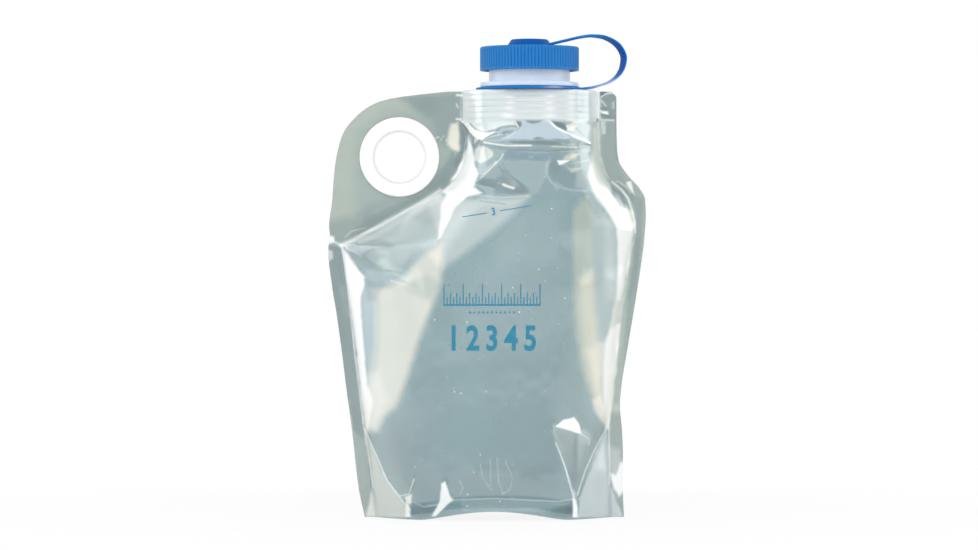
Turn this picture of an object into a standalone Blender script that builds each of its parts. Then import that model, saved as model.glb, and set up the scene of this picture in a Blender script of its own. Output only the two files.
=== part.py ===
"""Collapsible water carrier: a film stand-up pouch with a flat handle web and its grommet, a wide-mouth
neck fitment welded between the sheets, a ribbed screw cap, and a tether that keeps the cap.

Metres, +Z up, front towards -Y. The origin is on the surface it stands on, below the middle of the pouch.
"""

import math

import bmesh
import bpy
import numpy as np
from mathutils import Vector

# Clearances
WELD_GAP = 0.0003
RUN_GAP = 0.00035
OVERRUN = 0.002
MERGE_DISTANCE = 0.00001

# Film pouch
FILM_THICKNESS = 0.0005
FILM_HEIGHT = 0.2893
FILM_HALF_WIDTH = 0.108
BASE_HALF_DEPTH = 0.050
BASE_ARCH = 0.006
FOOT_TRIM = 0.0005
GUSSET_SAG = 0.006

# Neck fitment
NECK_AXIS_X = 0.0289
BOAT_HALF_LENGTH = 0.0455
BOAT_HALF_DEPTH = 0.030
BOAT_HEIGHT = 0.020
BOAT_PROUD = 0.0007
BOAT_WALL = 0.0022
BOAT_TIP_SPACE = 0.001
BOAT_RIBS = 5
BOAT_RIB_DEPTH = 0.0008
NECK_RADIUS = 0.02765
NECK_WALL = 0.0024
NECK_RISE = 0.0215
FLANGE_RADIUS = 0.0335
FLANGE_HEIGHT = 0.0033
FLANGE_CHAMFER = 0.0006
RIM_CHAMFER = 0.0005

# Screw thread, right-handed
THREAD_LEAD = 0.0042
THREAD_TURNS = 1.5
THREAD_ROOT_WIDTH = 0.0016
THREAD_CREST_WIDTH = 0.0008
THREAD_HEIGHT = 0.0022
THREAD_SINK = 0.0004
THREAD_DROP = 0.0032

# Screw cap
CAP_RADIUS = 0.03365
CAP_SKIRT_HEIGHT = 0.0163
CAP_ROOF = 0.0024
CAP_KNURL_DEPTH = 0.0005
CAP_KNURL_SINK = 0.00025
CAP_KNURL_RIBS = 90
CAP_KNURL_MARGIN = 0.0012
CAP_EDGE_ROUND = 0.0018
CAP_SKIRT_WALL = 0.00245
PLUG_DEPTH = 0.004
PLUG_WALL = 0.0016
BOSS_RADIUS = 0.0086
BOSS_HEAD_RADIUS = 0.0102
BOSS_HEAD_HEIGHT = 0.0016

# Tether
COLLAR_BASE_RADIUS = 0.0155
COLLAR_TOP_RADIUS = 0.01235
COLLAR_HEIGHT = 0.0048
COLLAR_STEP_HEIGHT = 0.003
RING_WIDTH = 0.0081
RING_THICKNESS = 0.0014
STRAP_WIDTH = 0.008
STRAP_THICKNESS = 0.0016
STRAP_REACH = 0.0641
STRAP_RISE = 0.0361
TAB_LENGTH = 0.002

# Handle grommet
GROMMET_RADIUS = 0.0271
GROMMET_BORE_RADIUS = 0.0172
GROMMET_SLEEVE_WALL = 0.0016
GROMMET_FLANGE = 0.0020
GROMMET_EDGE_ROUND = 0.0009

# Faces
CHAMBER_COLUMNS = 16
WEB_COLUMNS = 3
SIDE_BAND_COLUMNS = 1
SKIRT_ROWS = 3
GUSSET_ROWS = 6
TURN_STEPS = 48
FINE_TURN_STEPS = 32
ROUND_STEPS = 3
THREAD_STEPS_PER_TURN = 32
STRAP_STEPS = 26
POCKET_STEPS = 3
SHARP_EDGE_DEGREES = 30

# Outlines: the height as a share of FILM_HEIGHT, then the place as a share of FILM_HALF_WIDTH
LEFT_EDGE_SHARES = (
    (0.000, -0.769), (0.064, -0.806), (0.205, -0.850), (0.289, -0.881), (0.402, -0.919),
    (0.487, -0.951), (0.543, -0.976), (0.628, -1.000), (0.660, -0.989), (0.684, -0.994),
    (0.740, -0.976), (0.825, -0.957), (0.881, -0.926), (0.910, -0.894), (0.931, -0.850),
    (0.957, -0.774), (0.973, -0.699), (0.982, -0.623), (0.987, -0.548), (0.994, -0.396),
    (1.000, -0.245),
)
RIGHT_EDGE_SHARES = (
    (0.000, 0.863), (0.064, 0.856), (0.148, 0.856), (0.205, 0.850), (0.261, 0.837),
    (0.317, 0.850), (0.374, 0.875), (0.430, 0.900), (0.515, 0.938), (0.604, 0.974),
    (0.649, 0.989), (0.711, 1.000), (0.747, 0.995), (0.773, 0.959), (0.803, 0.887),
    (0.838, 0.830), (0.865, 0.819), (0.935, 0.815), (0.985, 0.815), (1.000, 0.785),
)
LEFT_SEAM_SHARES = (
    (0.000, -0.704), (0.064, -0.731), (0.205, -0.772), (0.289, -0.806), (0.402, -0.837),
    (0.487, -0.869), (0.600, -0.915), (0.636, -0.921), (0.674, -0.733), (0.730, -0.503),
    (0.776, -0.293), (0.801, -0.198), (0.844, -0.148), (0.898, -0.130),
)
RIGHT_SEAM_SHARES = (
    (0.000, 0.792), (0.064, 0.782), (0.206, 0.762), (0.289, 0.787), (0.374, 0.812),
    (0.487, 0.844), (0.543, 0.875), (0.599, 0.888), (0.679, 0.933), (0.711, 0.919),
    (0.754, 0.870), (0.798, 0.760), (0.825, 0.728), (0.854, 0.710), (0.898, 0.700),
)
# The height as a share of FILM_HEIGHT, then the half depth as a share of BASE_HALF_DEPTH
HALF_DEPTH_SHARES = (
    (0.00, 1.00), (0.10, 1.00), (0.25, 0.95), (0.45, 0.92), (0.60, 0.88),
    (0.70, 0.80), (0.80, 0.70), (0.88, 0.65),
)
ROW_HEIGHT_SHARES = (
    0.035, 0.070, 0.120, 0.170, 0.225, 0.285, 0.345, 0.415, 0.485, 0.550, 0.605, 0.636, 0.654, 0.674,
    0.700, 0.730, 0.765, 0.801, 0.835, 0.868, 0.905,
)
TOP_ROW_SHARES = (0.957, 0.973, 0.987, 0.994, 1.0)
# The place across the chamber from -1 to 1, then the height of the base seam as a share of FILM_HEIGHT
BASE_SEAM_SHARES = (
    (-1.00, 0.213), (-0.93, 0.139), (-0.84, 0.074), (-0.73, 0.034), (-0.60, 0.028), (-0.30, 0.038),
    (0.00, 0.042), (0.40, 0.040), (0.60, 0.034), (0.70, 0.036), (0.76, 0.072), (0.87, 0.128),
    (1.00, 0.206),
)
GROMMET_PLACE_SHARES = (-0.551, 0.846)
# How far out, as a share of STRAP_REACH, then how high, as a share of STRAP_RISE
STRAP_PATH_SHARES = (
    (0.40, 0.92), (0.54, 0.975), (0.65, 1.0), (0.755, 0.985), (0.877, 0.90), (0.958, 0.77), (1.0, 0.58),
    (0.986, 0.41), (0.931, 0.245), (0.838, 0.12), (0.73, 0.05), (0.665, 0.01),
)
STRAP_ROOT_HEIGHT_SHARE = 0.86
FOOT_SHARE = 0.62
LENS_FULLNESS = 0.6
POCKET_TIP_SHARE = 0.87

# Worked out from the values above, from the film upwards
HALF_STACK = (WELD_GAP + FILM_THICKNESS) / 2
SHEET_STEP = WELD_GAP + FILM_THICKNESS
BOAT_TOP = FILM_HEIGHT + BOAT_PROUD
BOAT_BOTTOM = BOAT_TOP - BOAT_HEIGHT
RING_BOTTOM = BOAT_TOP + RUN_GAP
FLANGE_BOTTOM = RING_BOTTOM + RING_THICKNESS + RUN_GAP
FLANGE_TOP = FLANGE_BOTTOM + FLANGE_HEIGHT
NECK_RIM = FLANGE_TOP + NECK_RISE
NECK_BORE_RADIUS = NECK_RADIUS - NECK_WALL
NECK_THREAD_START = NECK_RIM - THREAD_DROP - THREAD_LEAD * THREAD_TURNS
CAP_UNDER_ROOF = NECK_RIM + WELD_GAP
CAP_TOP = CAP_UNDER_ROOF + CAP_ROOF
CAP_BOTTOM = CAP_TOP - CAP_SKIRT_HEIGHT
CAP_CORE_RADIUS = CAP_RADIUS - CAP_KNURL_DEPTH - CAP_KNURL_SINK
CAP_INNER_RADIUS = CAP_CORE_RADIUS - CAP_SKIRT_WALL
PLUG_RADIUS = NECK_BORE_RADIUS - RUN_GAP
COLLAR_BOTTOM = CAP_TOP + WELD_GAP
COLLAR_TOP = COLLAR_BOTTOM + COLLAR_HEIGHT
COLLAR_STEP = COLLAR_BOTTOM + COLLAR_STEP_HEIGHT
BOSS_HEAD_BOTTOM = COLLAR_STEP + RUN_GAP
BOSS_TOP = BOSS_HEAD_BOTTOM + BOSS_HEAD_HEIGHT
RING_INNER_RADIUS = NECK_RADIUS + 2 * RUN_GAP
RING_OUTER_RADIUS = RING_INNER_RADIUS + RING_WIDTH
RING_MIDDLE = RING_BOTTOM + RING_THICKNESS / 2
TAB_END = RING_OUTER_RADIUS + TAB_LENGTH
GROMMET_X = GROMMET_PLACE_SHARES[0] * FILM_HALF_WIDTH
GROMMET_Z = GROMMET_PLACE_SHARES[1] * FILM_HEIGHT
GROMMET_SLEEVE_RADIUS = GROMMET_BORE_RADIUS + GROMMET_SLEEVE_WALL
FILM_HOLE_RADIUS = GROMMET_SLEEVE_RADIUS + WELD_GAP
WEB_FACE = WELD_GAP / 2 + FILM_THICKNESS

COLOURS = {
    "film": ((0.56, 0.64, 0.66, 0.45), 0.12),
    "fitment": ((0.78, 0.84, 0.90, 1.0), 0.35),
    "cap_blue": ((0.030, 0.180, 0.520, 1.0), 0.38),
    "tether_blue": ((0.012, 0.085, 0.380, 1.0), 0.35),
    "grommet_white": ((0.90, 0.91, 0.92, 1.0), 0.30),
}


def clear_scene():
    for thing in list(bpy.data.objects):
        bpy.data.objects.remove(thing)


def collection(name):
    group = bpy.data.collections.new(name)
    bpy.context.scene.collection.children.link(group)
    return group


def principled(name):
    (red, green, blue, alpha), roughness = COLOURS[name]
    material = bpy.data.materials.new(name)
    material.use_nodes = True
    shader = material.node_tree.nodes["Principled BSDF"]
    shader.inputs["Base Color"].default_value = (red, green, blue, 1)
    shader.inputs["Roughness"].default_value = roughness
    shader.inputs["Metallic"].default_value = 0
    shader.inputs["Alpha"].default_value = alpha
    return material


def smooth_curve(points):
    """A curve through the points that never overshoots them, as a function of the first value."""
    at = np.array(points, float)
    xs, ys = at[:, 0], at[:, 1]
    steps = np.diff(xs)
    slopes = np.diff(ys) / steps
    tangents = np.zeros(len(xs))
    tangents[0], tangents[-1] = slopes[0], slopes[-1]
    for i in range(1, len(xs) - 1):
        before, after = slopes[i - 1], slopes[i]
        if before * after > 0:
            left, right = 2 * steps[i] + steps[i - 1], steps[i] + 2 * steps[i - 1]
            tangents[i] = (left + right) / (left / before + right / after)

    def value(x):
        x = min(max(x, xs[0]), xs[-1])
        i = min(int(np.searchsorted(xs, x, side="right")) - 1, len(steps) - 1)
        t = (x - xs[i]) / steps[i]
        start = (1 + 2 * t) * (1 - t) ** 2 * ys[i] + t * (1 - t) ** 2 * steps[i] * tangents[i]
        end = t * t * (3 - 2 * t) * ys[i + 1] + t * t * (t - 1) * steps[i] * tangents[i + 1]
        return float(start + end)

    return value


def scaled(table, first, second):
    return [(a * first, b * second) for a, b in table]


def seam_curve(table, side):
    """An inner seam, which runs up to the fitment's tip and stays beside it."""
    tip = NECK_AXIS_X + side * (BOAT_HALF_LENGTH + BOAT_TIP_SPACE)
    return smooth_curve(
        scaled(table, FILM_HEIGHT, FILM_HALF_WIDTH) + [(BOAT_BOTTOM, tip), (FILM_HEIGHT, tip)]
    )


left_edge = smooth_curve(scaled(LEFT_EDGE_SHARES, FILM_HEIGHT, FILM_HALF_WIDTH))
right_edge = smooth_curve(scaled(RIGHT_EDGE_SHARES, FILM_HEIGHT, FILM_HALF_WIDTH))
left_seam = seam_curve(LEFT_SEAM_SHARES, -1)
right_seam = seam_curve(RIGHT_SEAM_SHARES, 1)
half_depth = smooth_curve(
    scaled(HALF_DEPTH_SHARES, FILM_HEIGHT, BASE_HALF_DEPTH)
    + [(BOAT_BOTTOM, BOAT_HALF_DEPTH + WELD_GAP), (FILM_HEIGHT, BOAT_HALF_DEPTH + WELD_GAP)]
)
base_seam = smooth_curve(scaled(BASE_SEAM_SHARES, 1, FILM_HEIGHT))


def lens(share):
    """The crown of a filled pouch across its width: 1 in the middle, 0 at both seams."""
    return (1 - share**2) * (1 + LENS_FULLNESS * share**2)


def chamber_shares():
    """Columns across the chamber from -1 to 1, closer together towards the seams."""
    evenly = np.linspace(-1, 1, CHAMBER_COLUMNS + 1)
    return [float(1.5 * u - 0.5 * u**3) for u in evenly]


def chamber_point(share, z):
    """A point of the front sheet's middle surface inside the seams."""
    left, right = left_seam(z), right_seam(z)
    x = (left + right) / 2 + share * (right - left) / 2
    return Vector((x, -(HALF_STACK + half_depth(z) * lens(share)), z))


def bottom_edge(share):
    """The film's lower edge: flat feet at the corners, a low arch between them."""
    arch = max(0, 1 - (share / FOOT_SHARE) ** 2) ** 1.5
    return (BASE_ARCH + FOOT_TRIM) * arch - FOOT_TRIM


def inside_front(share, z):
    """The front sheet's surface moved inwards by one film and the gap to it."""
    small_share, small_height = 0.01, FILM_HEIGHT / 200
    across = chamber_point(share + small_share, z) - chamber_point(share - small_share, z)
    up = chamber_point(share, z + small_height) - chamber_point(share, max(z - small_height, 0))
    inward = up.cross(across).normalized()
    if inward.y < 0:
        inward.negate()
    return chamber_point(share, z) + inward * SHEET_STEP


def mesh_object(name, mesh, material, group):
    thing = bpy.data.objects.new(name, mesh)
    group.objects.link(thing)
    if material:
        mesh.materials.append(material)
    return thing


def grid_mesh(name, rows):
    """A surface through rows of points, each row as long as the next."""
    net = bmesh.new()
    lines = [[net.verts.new(p) for p in row] for row in rows]
    for lower, upper in zip(lines, lines[1:]):
        for a, b, c, d in zip(lower, lower[1:], upper[1:], upper):
            net.faces.new((a, b, c, d))
    bmesh.ops.recalc_face_normals(net, faces=net.faces)
    mesh = bpy.data.meshes.new(name)
    net.to_mesh(mesh)
    net.free()
    return mesh


def loft_mesh(name, rings):
    """A closed solid through rings of points, with its two ends filled."""
    net = bmesh.new()
    loops = [[net.verts.new(p) for p in ring] for ring in rings]
    for lower, upper in zip(loops, loops[1:]):
        for i in range(len(lower)):
            j = (i + 1) % len(lower)
            net.faces.new((lower[i], lower[j], upper[j], upper[i]))
    net.faces.new(loops[0][::-1])
    net.faces.new(loops[-1])
    bmesh.ops.recalc_face_normals(net, faces=net.faces)
    mesh = bpy.data.meshes.new(name)
    net.to_mesh(mesh)
    net.free()
    return mesh


def thicken(thing, thickness, even):
    shell = thing.modifiers.new("film", "SOLIDIFY")
    shell.thickness = thickness
    shell.offset = 0
    shell.use_even_offset = even


def combine(thing, tool, operation):
    step = thing.modifiers.new(tool.name, "BOOLEAN")
    step.operation = operation
    step.object = tool


def as_tool(thing):
    thing.hide_render = True
    thing.display_type = "WIRE"
    return thing


def turned_mesh(name, profile, steps):
    """A profile of (radius, height) points turned round the Z axis. A closed profile repeats its first point."""
    closed = profile[0] == profile[-1]
    points = profile[:-1] if closed else profile
    edges = [(i, (i + 1) % len(points)) for i in range(len(points) if closed else len(points) - 1)]
    line = bpy.data.meshes.new(name + "_profile")
    line.from_pydata([(radius, 0, height) for radius, height in points], edges, [])
    guide = bpy.data.objects.new(name + "_profile", line)
    bpy.context.scene.collection.objects.link(guide)
    screw = guide.modifiers.new("turn", "SCREW")
    screw.axis = "Z"
    screw.steps = screw.render_steps = steps
    screw.use_merge_vertices = True
    screw.merge_threshold = MERGE_DISTANCE
    mesh = bpy.data.meshes.new_from_object(guide.evaluated_get(bpy.context.evaluated_depsgraph_get()))
    bpy.data.objects.remove(guide)
    net = bmesh.new()
    net.from_mesh(mesh)
    bmesh.ops.remove_doubles(net, verts=net.verts, dist=MERGE_DISTANCE)
    bmesh.ops.recalc_face_normals(net, faces=net.faces)
    net.to_mesh(mesh)
    net.free()
    mesh.name = name
    mesh.shade_smooth()
    mesh.set_sharp_from_angle(angle=math.radians(SHARP_EDGE_DEGREES))
    return mesh


def prism(name, outline, low, high, group):
    """A tool with a flat outline of (x, y) points between two heights."""
    rings = [[(x, y, z) for x, y in outline] for z in (low, high)]
    return as_tool(mesh_object(name, loft_mesh(name, rings), None, group))


def rounded(corner, centre_out, centre_up, radius, start, end):
    """Points of a round corner in a turned profile, from angle start to end in degrees."""
    angles = np.radians(np.linspace(start, end, ROUND_STEPS + 1))
    return [(corner[0] + centre_out + radius * math.cos(a), corner[1] + centre_up + radius * math.sin(a))
            for a in angles]


def film_panel(name, side, material, parts, tools):
    """One sheet: the flat web and side bands, and the crowned chamber between the seams."""
    shares = chamber_shares()
    heights = [share * FILM_HEIGHT for share in ROW_HEIGHT_SHARES]
    heights += [BOAT_BOTTOM] + [share * FILM_HEIGHT for share in TOP_ROW_SHARES]
    rows = []
    for row, height in enumerate([0] + heights):
        chamber = [chamber_point(share, height) for share in shares]
        if row == 0:
            for point, share in zip(chamber, shares):
                point.z = bottom_edge(share)
        flat = chamber[0].z
        left = np.linspace(left_edge(height), chamber[0].x, WEB_COLUMNS + 1)[:-1]
        right = np.linspace(chamber[-1].x, right_edge(height), SIDE_BAND_COLUMNS + 1)[1:]
        line = [Vector((x, -HALF_STACK, flat)) for x in left]
        line += chamber
        line += [Vector((x, -HALF_STACK, flat)) for x in right]
        rows.append([(p.x, -side * p.y, p.z) for p in line])
    panel = mesh_object(name, grid_mesh(name, rows), material, parts)
    thicken(panel, FILM_THICKNESS, True)
    combine(panel, tools["film_hole"], "DIFFERENCE")
    combine(panel, tools["ground"], "DIFFERENCE")
    return panel


def base_gusset(material, parts):
    """The base sheet: a skirt up the inside of each panel to the base seam, and the saddle between them."""
    columns = []
    for share in chamber_shares()[1:-1]:
        top = base_seam(share)
        foot = bottom_edge(share) + FOOT_TRIM + WELD_GAP
        skirt = [inside_front(share, z) for z in np.linspace(foot, top, SKIRT_ROWS + 1)]
        seam = skirt[-1]
        line = list(skirt)
        for k in range(1, GUSSET_ROWS):
            over = k / GUSSET_ROWS
            sag = GUSSET_SAG * (1 - share**2) * 4 * over * (1 - over)
            line.append(Vector((seam.x, seam.y * (1 - 2 * over), seam.z - sag)))
        line += [Vector((p.x, -p.y, p.z)) for p in reversed(skirt)]
        columns.append(line)
    gusset = mesh_object("base_gusset", grid_mesh("base_gusset", columns), material, parts)
    thicken(gusset, FILM_THICKNESS, False)
    return gusset


def boat_outline(inset):
    """The fitment's plan outline, pointed at both ends, as (x, y) points round it."""
    shares = chamber_shares()
    length, depth = BOAT_HALF_LENGTH - inset, BOAT_HALF_DEPTH - inset
    front = [(share * length, -depth * lens(share)) for share in shares]
    back = [(share * length, depth * lens(share)) for share in shares[-2:0:-1]]
    return front + back


def boat_mesh():
    levels = np.linspace(BOAT_BOTTOM, BOAT_TOP, 2 * BOAT_RIBS + 1)
    rings = []
    for level, height in enumerate(levels):
        inset = BOAT_RIB_DEPTH if level % 2 == 0 else 0
        rings.append([(x, y, height) for x, y in boat_outline(inset)])
    return loft_mesh("neck_fitment", rings)


def thread_ridge(name, root_radius, crest_radius, start, group):
    """A helical ridge with sloped flanks, sunk a little into the wall that carries it."""
    outwards = 1 if crest_radius > root_radius else -1
    sunk = root_radius - outwards * THREAD_SINK
    section = (
        (sunk, -THREAD_ROOT_WIDTH / 2), (crest_radius, -THREAD_CREST_WIDTH / 2),
        (crest_radius, THREAD_CREST_WIDTH / 2), (sunk, THREAD_ROOT_WIDTH / 2),
    )
    steps = int(THREAD_STEPS_PER_TURN * THREAD_TURNS)
    rings = []
    for step in range(steps + 1):
        turn = step / THREAD_STEPS_PER_TURN
        angle = 2 * math.pi * turn
        climb = start + THREAD_LEAD * turn
        rings.append(
            [(r * math.cos(angle), r * math.sin(angle), climb + up) for r, up in section]
        )
    return as_tool(mesh_object(name, loft_mesh(name, rings), None, group))


def neck_fitment(material, parts, tools_group, axis):
    fitment = mesh_object("neck_fitment", boat_mesh(), material, parts)
    inside = (BOAT_BOTTOM + BOAT_TOP) / 2
    profile = [
        (0, inside), (NECK_RADIUS, inside), (NECK_RADIUS, FLANGE_BOTTOM),
        (FLANGE_RADIUS - FLANGE_CHAMFER, FLANGE_BOTTOM), (FLANGE_RADIUS, FLANGE_BOTTOM + FLANGE_CHAMFER),
        (FLANGE_RADIUS, FLANGE_TOP - FLANGE_CHAMFER), (FLANGE_RADIUS - FLANGE_CHAMFER, FLANGE_TOP),
        (NECK_RADIUS, FLANGE_TOP), (NECK_RADIUS, NECK_RIM - RIM_CHAMFER),
        (NECK_RADIUS - RIM_CHAMFER, NECK_RIM), (0, NECK_RIM),
    ]
    stem = as_tool(mesh_object("neck_stem", turned_mesh("neck_stem", profile, TURN_STEPS), None, tools_group))
    bore_low, bore_high = BOAT_BOTTOM - OVERRUN, NECK_RIM + OVERRUN
    bore_profile = [(0, bore_low), (NECK_BORE_RADIUS, bore_low), (NECK_BORE_RADIUS, bore_high), (0, bore_high)]
    bore = as_tool(mesh_object("neck_bore", turned_mesh("neck_bore", bore_profile, TURN_STEPS), None, tools_group))
    ridge = thread_ridge(
        "neck_thread", NECK_RADIUS, NECK_RADIUS + THREAD_HEIGHT, NECK_THREAD_START, tools_group
    )
    combine(fitment, stem, "UNION")
    combine(fitment, bore, "DIFFERENCE")
    combine(fitment, ridge, "UNION")
    for side, place in ((-1, "left"), (1, "right")):
        pocket = prism(
            f"boat_pocket_{place}", pocket_outline(side), BOAT_BOTTOM - OVERRUN, BOAT_TOP - BOAT_WALL, tools_group
        )
        combine(fitment, pocket, "DIFFERENCE")
        pocket.parent = axis
    for thing in (fitment, stem, bore, ridge):
        thing.parent = axis
    return fitment


def pocket_outline(side):
    """The hollow between the neck and one tip of the boat, inside its walls."""
    near, far = NECK_RADIUS + BOAT_RIB_DEPTH, POCKET_TIP_SHARE * BOAT_HALF_LENGTH
    places = np.linspace(near, far, POCKET_STEPS + 1)
    half = [BOAT_HALF_DEPTH * lens(x / BOAT_HALF_LENGTH) - BOAT_WALL - BOAT_RIB_DEPTH for x in places]
    front = [(side * x, -y) for x, y in zip(places, half)]
    back = [(side * x, y) for x, y in zip(places, half)]
    return front + back[::-1]


def knurl_outline():
    """The grip's outline: one crest and one valley for each rib."""
    points = []
    for step in range(2 * CAP_KNURL_RIBS):
        radius = CAP_RADIUS - CAP_KNURL_DEPTH * (step % 2)
        angle = math.pi * step / CAP_KNURL_RIBS
        points.append((radius * math.cos(angle), radius * math.sin(angle)))
    return points


def screw_cap(material, parts, tools_group, axis):
    top_corner = (CAP_CORE_RADIUS, CAP_TOP)
    profile = [(0, CAP_BOTTOM), (CAP_CORE_RADIUS, CAP_BOTTOM)]
    profile += rounded(top_corner, -CAP_EDGE_ROUND, -CAP_EDGE_ROUND, CAP_EDGE_ROUND, 0, 90)
    profile += [
        (BOSS_RADIUS, CAP_TOP), (BOSS_RADIUS, BOSS_HEAD_BOTTOM), (BOSS_HEAD_RADIUS, BOSS_HEAD_BOTTOM),
        (BOSS_HEAD_RADIUS, BOSS_TOP), (0, BOSS_TOP),
    ]
    cap = mesh_object("screw_cap", turned_mesh("screw_cap", profile, TURN_STEPS), material, parts)
    knurl = prism(
        "cap_knurl", knurl_outline(), CAP_BOTTOM + CAP_KNURL_MARGIN, CAP_TOP - CAP_EDGE_ROUND, tools_group
    )
    under = CAP_BOTTOM - OVERRUN
    plug_bottom = CAP_UNDER_ROOF - PLUG_DEPTH
    hollow_profile = [
        (0, under), (CAP_INNER_RADIUS, under), (CAP_INNER_RADIUS, CAP_UNDER_ROOF),
        (PLUG_RADIUS, CAP_UNDER_ROOF), (PLUG_RADIUS, plug_bottom), (PLUG_RADIUS - PLUG_WALL, plug_bottom),
        (PLUG_RADIUS - PLUG_WALL, CAP_UNDER_ROOF), (0, CAP_UNDER_ROOF),
    ]
    hollow = as_tool(
        mesh_object("cap_hollow", turned_mesh("cap_hollow", hollow_profile, TURN_STEPS), None, tools_group)
    )
    ridge = thread_ridge(
        "cap_thread", CAP_INNER_RADIUS, CAP_INNER_RADIUS - THREAD_HEIGHT,
        NECK_THREAD_START - THREAD_LEAD / 2, tools_group
    )
    combine(cap, knurl, "UNION")
    combine(cap, hollow, "DIFFERENCE")
    combine(cap, ridge, "UNION")
    for thing in (cap, knurl, hollow, ridge):
        thing.parent = axis
    return cap


def tether_collar(material, parts, axis):
    """The tether's upper eye, snapped over the cap's boss."""
    bore, counterbore = BOSS_RADIUS + RUN_GAP, BOSS_HEAD_RADIUS + RUN_GAP
    profile = [
        (bore, COLLAR_BOTTOM), (COLLAR_BASE_RADIUS, COLLAR_BOTTOM), (COLLAR_TOP_RADIUS, COLLAR_TOP),
        (counterbore, COLLAR_TOP), (counterbore, COLLAR_STEP), (bore, COLLAR_STEP), (bore, COLLAR_BOTTOM),
    ]
    collar = mesh_object("tether_collar", turned_mesh("tether_collar", profile, FINE_TURN_STEPS), material, parts)
    collar.parent = axis
    return collar


def flat_piece(name, outlines, thickness, material, parts):
    """A flat outline, with any holes as further outlines, extruded about its plane."""
    curve = bpy.data.curves.new(name, "CURVE")
    curve.dimensions = "2D"
    curve.fill_mode = "BOTH"
    curve.extrude = thickness / 2
    for outline in outlines:
        spline = curve.splines.new("POLY")
        spline.points.add(len(outline) - 1)
        for point, (x, y) in zip(spline.points, outline):
            point.co = (x, y, 0, 1)
        spline.use_cyclic_u = True
    piece = bpy.data.objects.new(name, curve)
    curve.materials.append(material)
    parts.objects.link(piece)
    return piece


def tether_neck_ring(material, parts, axis):
    """The tether's lower eye, which turns on the neck under the flange, with the tab that carries the strap."""
    half_tab = math.asin(STRAP_WIDTH / 2 / RING_OUTER_RADIUS)
    angles = np.linspace(half_tab, 2 * math.pi - half_tab, TURN_STEPS)
    outer = [(RING_OUTER_RADIUS * math.cos(a), RING_OUTER_RADIUS * math.sin(a)) for a in angles]
    outer += [(TAB_END, -STRAP_WIDTH / 2), (TAB_END, STRAP_WIDTH / 2)]
    turns = [2 * math.pi * step / TURN_STEPS for step in range(TURN_STEPS)]
    inner = [(RING_INNER_RADIUS * math.cos(a), RING_INNER_RADIUS * math.sin(a)) for a in turns]
    ring = flat_piece("tether_neck_ring", (outer, inner), RING_THICKNESS, material, parts)
    ring.parent = axis
    ring.location = (0, 0, RING_MIDDLE)
    return ring


def strap_path():
    """The strap's middle line as (out from the neck axis, height), from the collar to the ring's tab."""
    root_height = RING_MIDDLE + STRAP_ROOT_HEIGHT_SHARE * STRAP_RISE
    slope = (COLLAR_BASE_RADIUS - COLLAR_TOP_RADIUS) / COLLAR_HEIGHT
    root_out = COLLAR_BASE_RADIUS - slope * (root_height - STRAP_THICKNESS / 2 - COLLAR_BOTTOM) + RUN_GAP
    points = [(root_out, root_height)]
    points += [(out * STRAP_REACH, RING_MIDDLE + up * STRAP_RISE) for out, up in STRAP_PATH_SHARES]
    points += [(TAB_END + WELD_GAP, RING_MIDDLE)]
    steps = np.cumsum([0] + [math.dist(a, b) for a, b in zip(points, points[1:])])
    out = smooth_curve([(s, p[0]) for s, p in zip(steps, points)])
    up = smooth_curve([(s, p[1]) for s, p in zip(steps, points)])
    return [(out(s), up(s)) for s in np.linspace(0, steps[-1], STRAP_STEPS + 1)]


def tether_strap(material, parts, axis):
    """The flat strap, its width across the view, as the outline of its edge."""
    path = strap_path()
    outer, inner = [], []
    last = len(path) - 1
    for i, (out, up) in enumerate(path):
        before, after = path[max(i - 1, 0)], path[min(i + 1, last)]
        run, climb = after[0] - before[0], after[1] - before[1]
        if i == last:
            run, climb = -1, 0
        if i == 0:
            run, climb = 1, 0
        length = math.hypot(run, climb)
        away = (-climb / length * STRAP_THICKNESS / 2, run / length * STRAP_THICKNESS / 2)
        outer.append((out + away[0], up + away[1]))
        inner.append((out - away[0], up - away[1]))
    strap = flat_piece("tether_strap", (outer + inner[::-1],), STRAP_WIDTH, material, parts)
    strap.parent = axis
    strap.rotation_euler = (math.radians(90), 0, 0)
    return strap


def grommet_half(name, sleeve, side, material, parts, axis):
    """One half of the grommet. Its height is measured from the middle of the web, outwards."""
    low = WEB_FACE + WELD_GAP
    high = low + GROMMET_FLANGE
    corner = (GROMMET_RADIUS, high)
    edge = rounded(corner, -GROMMET_EDGE_ROUND, -GROMMET_EDGE_ROUND, GROMMET_EDGE_ROUND, 0, 90)
    if sleeve:
        inner = [(GROMMET_BORE_RADIUS, high), (GROMMET_BORE_RADIUS, -high)]
        inner += [(GROMMET_SLEEVE_RADIUS, -high), (GROMMET_SLEEVE_RADIUS, low)]
    else:
        inner = [(GROMMET_SLEEVE_RADIUS + WELD_GAP, high), (GROMMET_SLEEVE_RADIUS + WELD_GAP, low)]
    profile = inner + [(GROMMET_RADIUS, low)] + edge
    profile.append(profile[0])
    half = mesh_object(name, turned_mesh(name, profile, FINE_TURN_STEPS), material, parts)
    half.parent = axis
    if side > 0:
        half.rotation_euler = (math.radians(180), 0, 0)
    return half


def film_tools(group):
    """The hole for the grommet, and the surface that the feet stand on."""
    outline = [
        (FILM_HOLE_RADIUS * math.cos(a), FILM_HOLE_RADIUS * math.sin(a))
        for a in np.linspace(0, 2 * math.pi, FINE_TURN_STEPS + 1)[:-1]
    ]
    hole = prism("film_hole", outline, -OVERRUN, OVERRUN, group)
    hole.location = (GROMMET_X, 0, GROMMET_Z)
    hole.rotation_euler = (math.radians(90), 0, 0)
    reach, depth = FILM_HALF_WIDTH + OVERRUN, BASE_HALF_DEPTH + OVERRUN
    corners = [(-reach, -depth), (reach, -depth), (reach, depth), (-reach, depth)]
    return {"film_hole": hole, "ground": prism("ground", corners, -OVERRUN, 0, group)}


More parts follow.
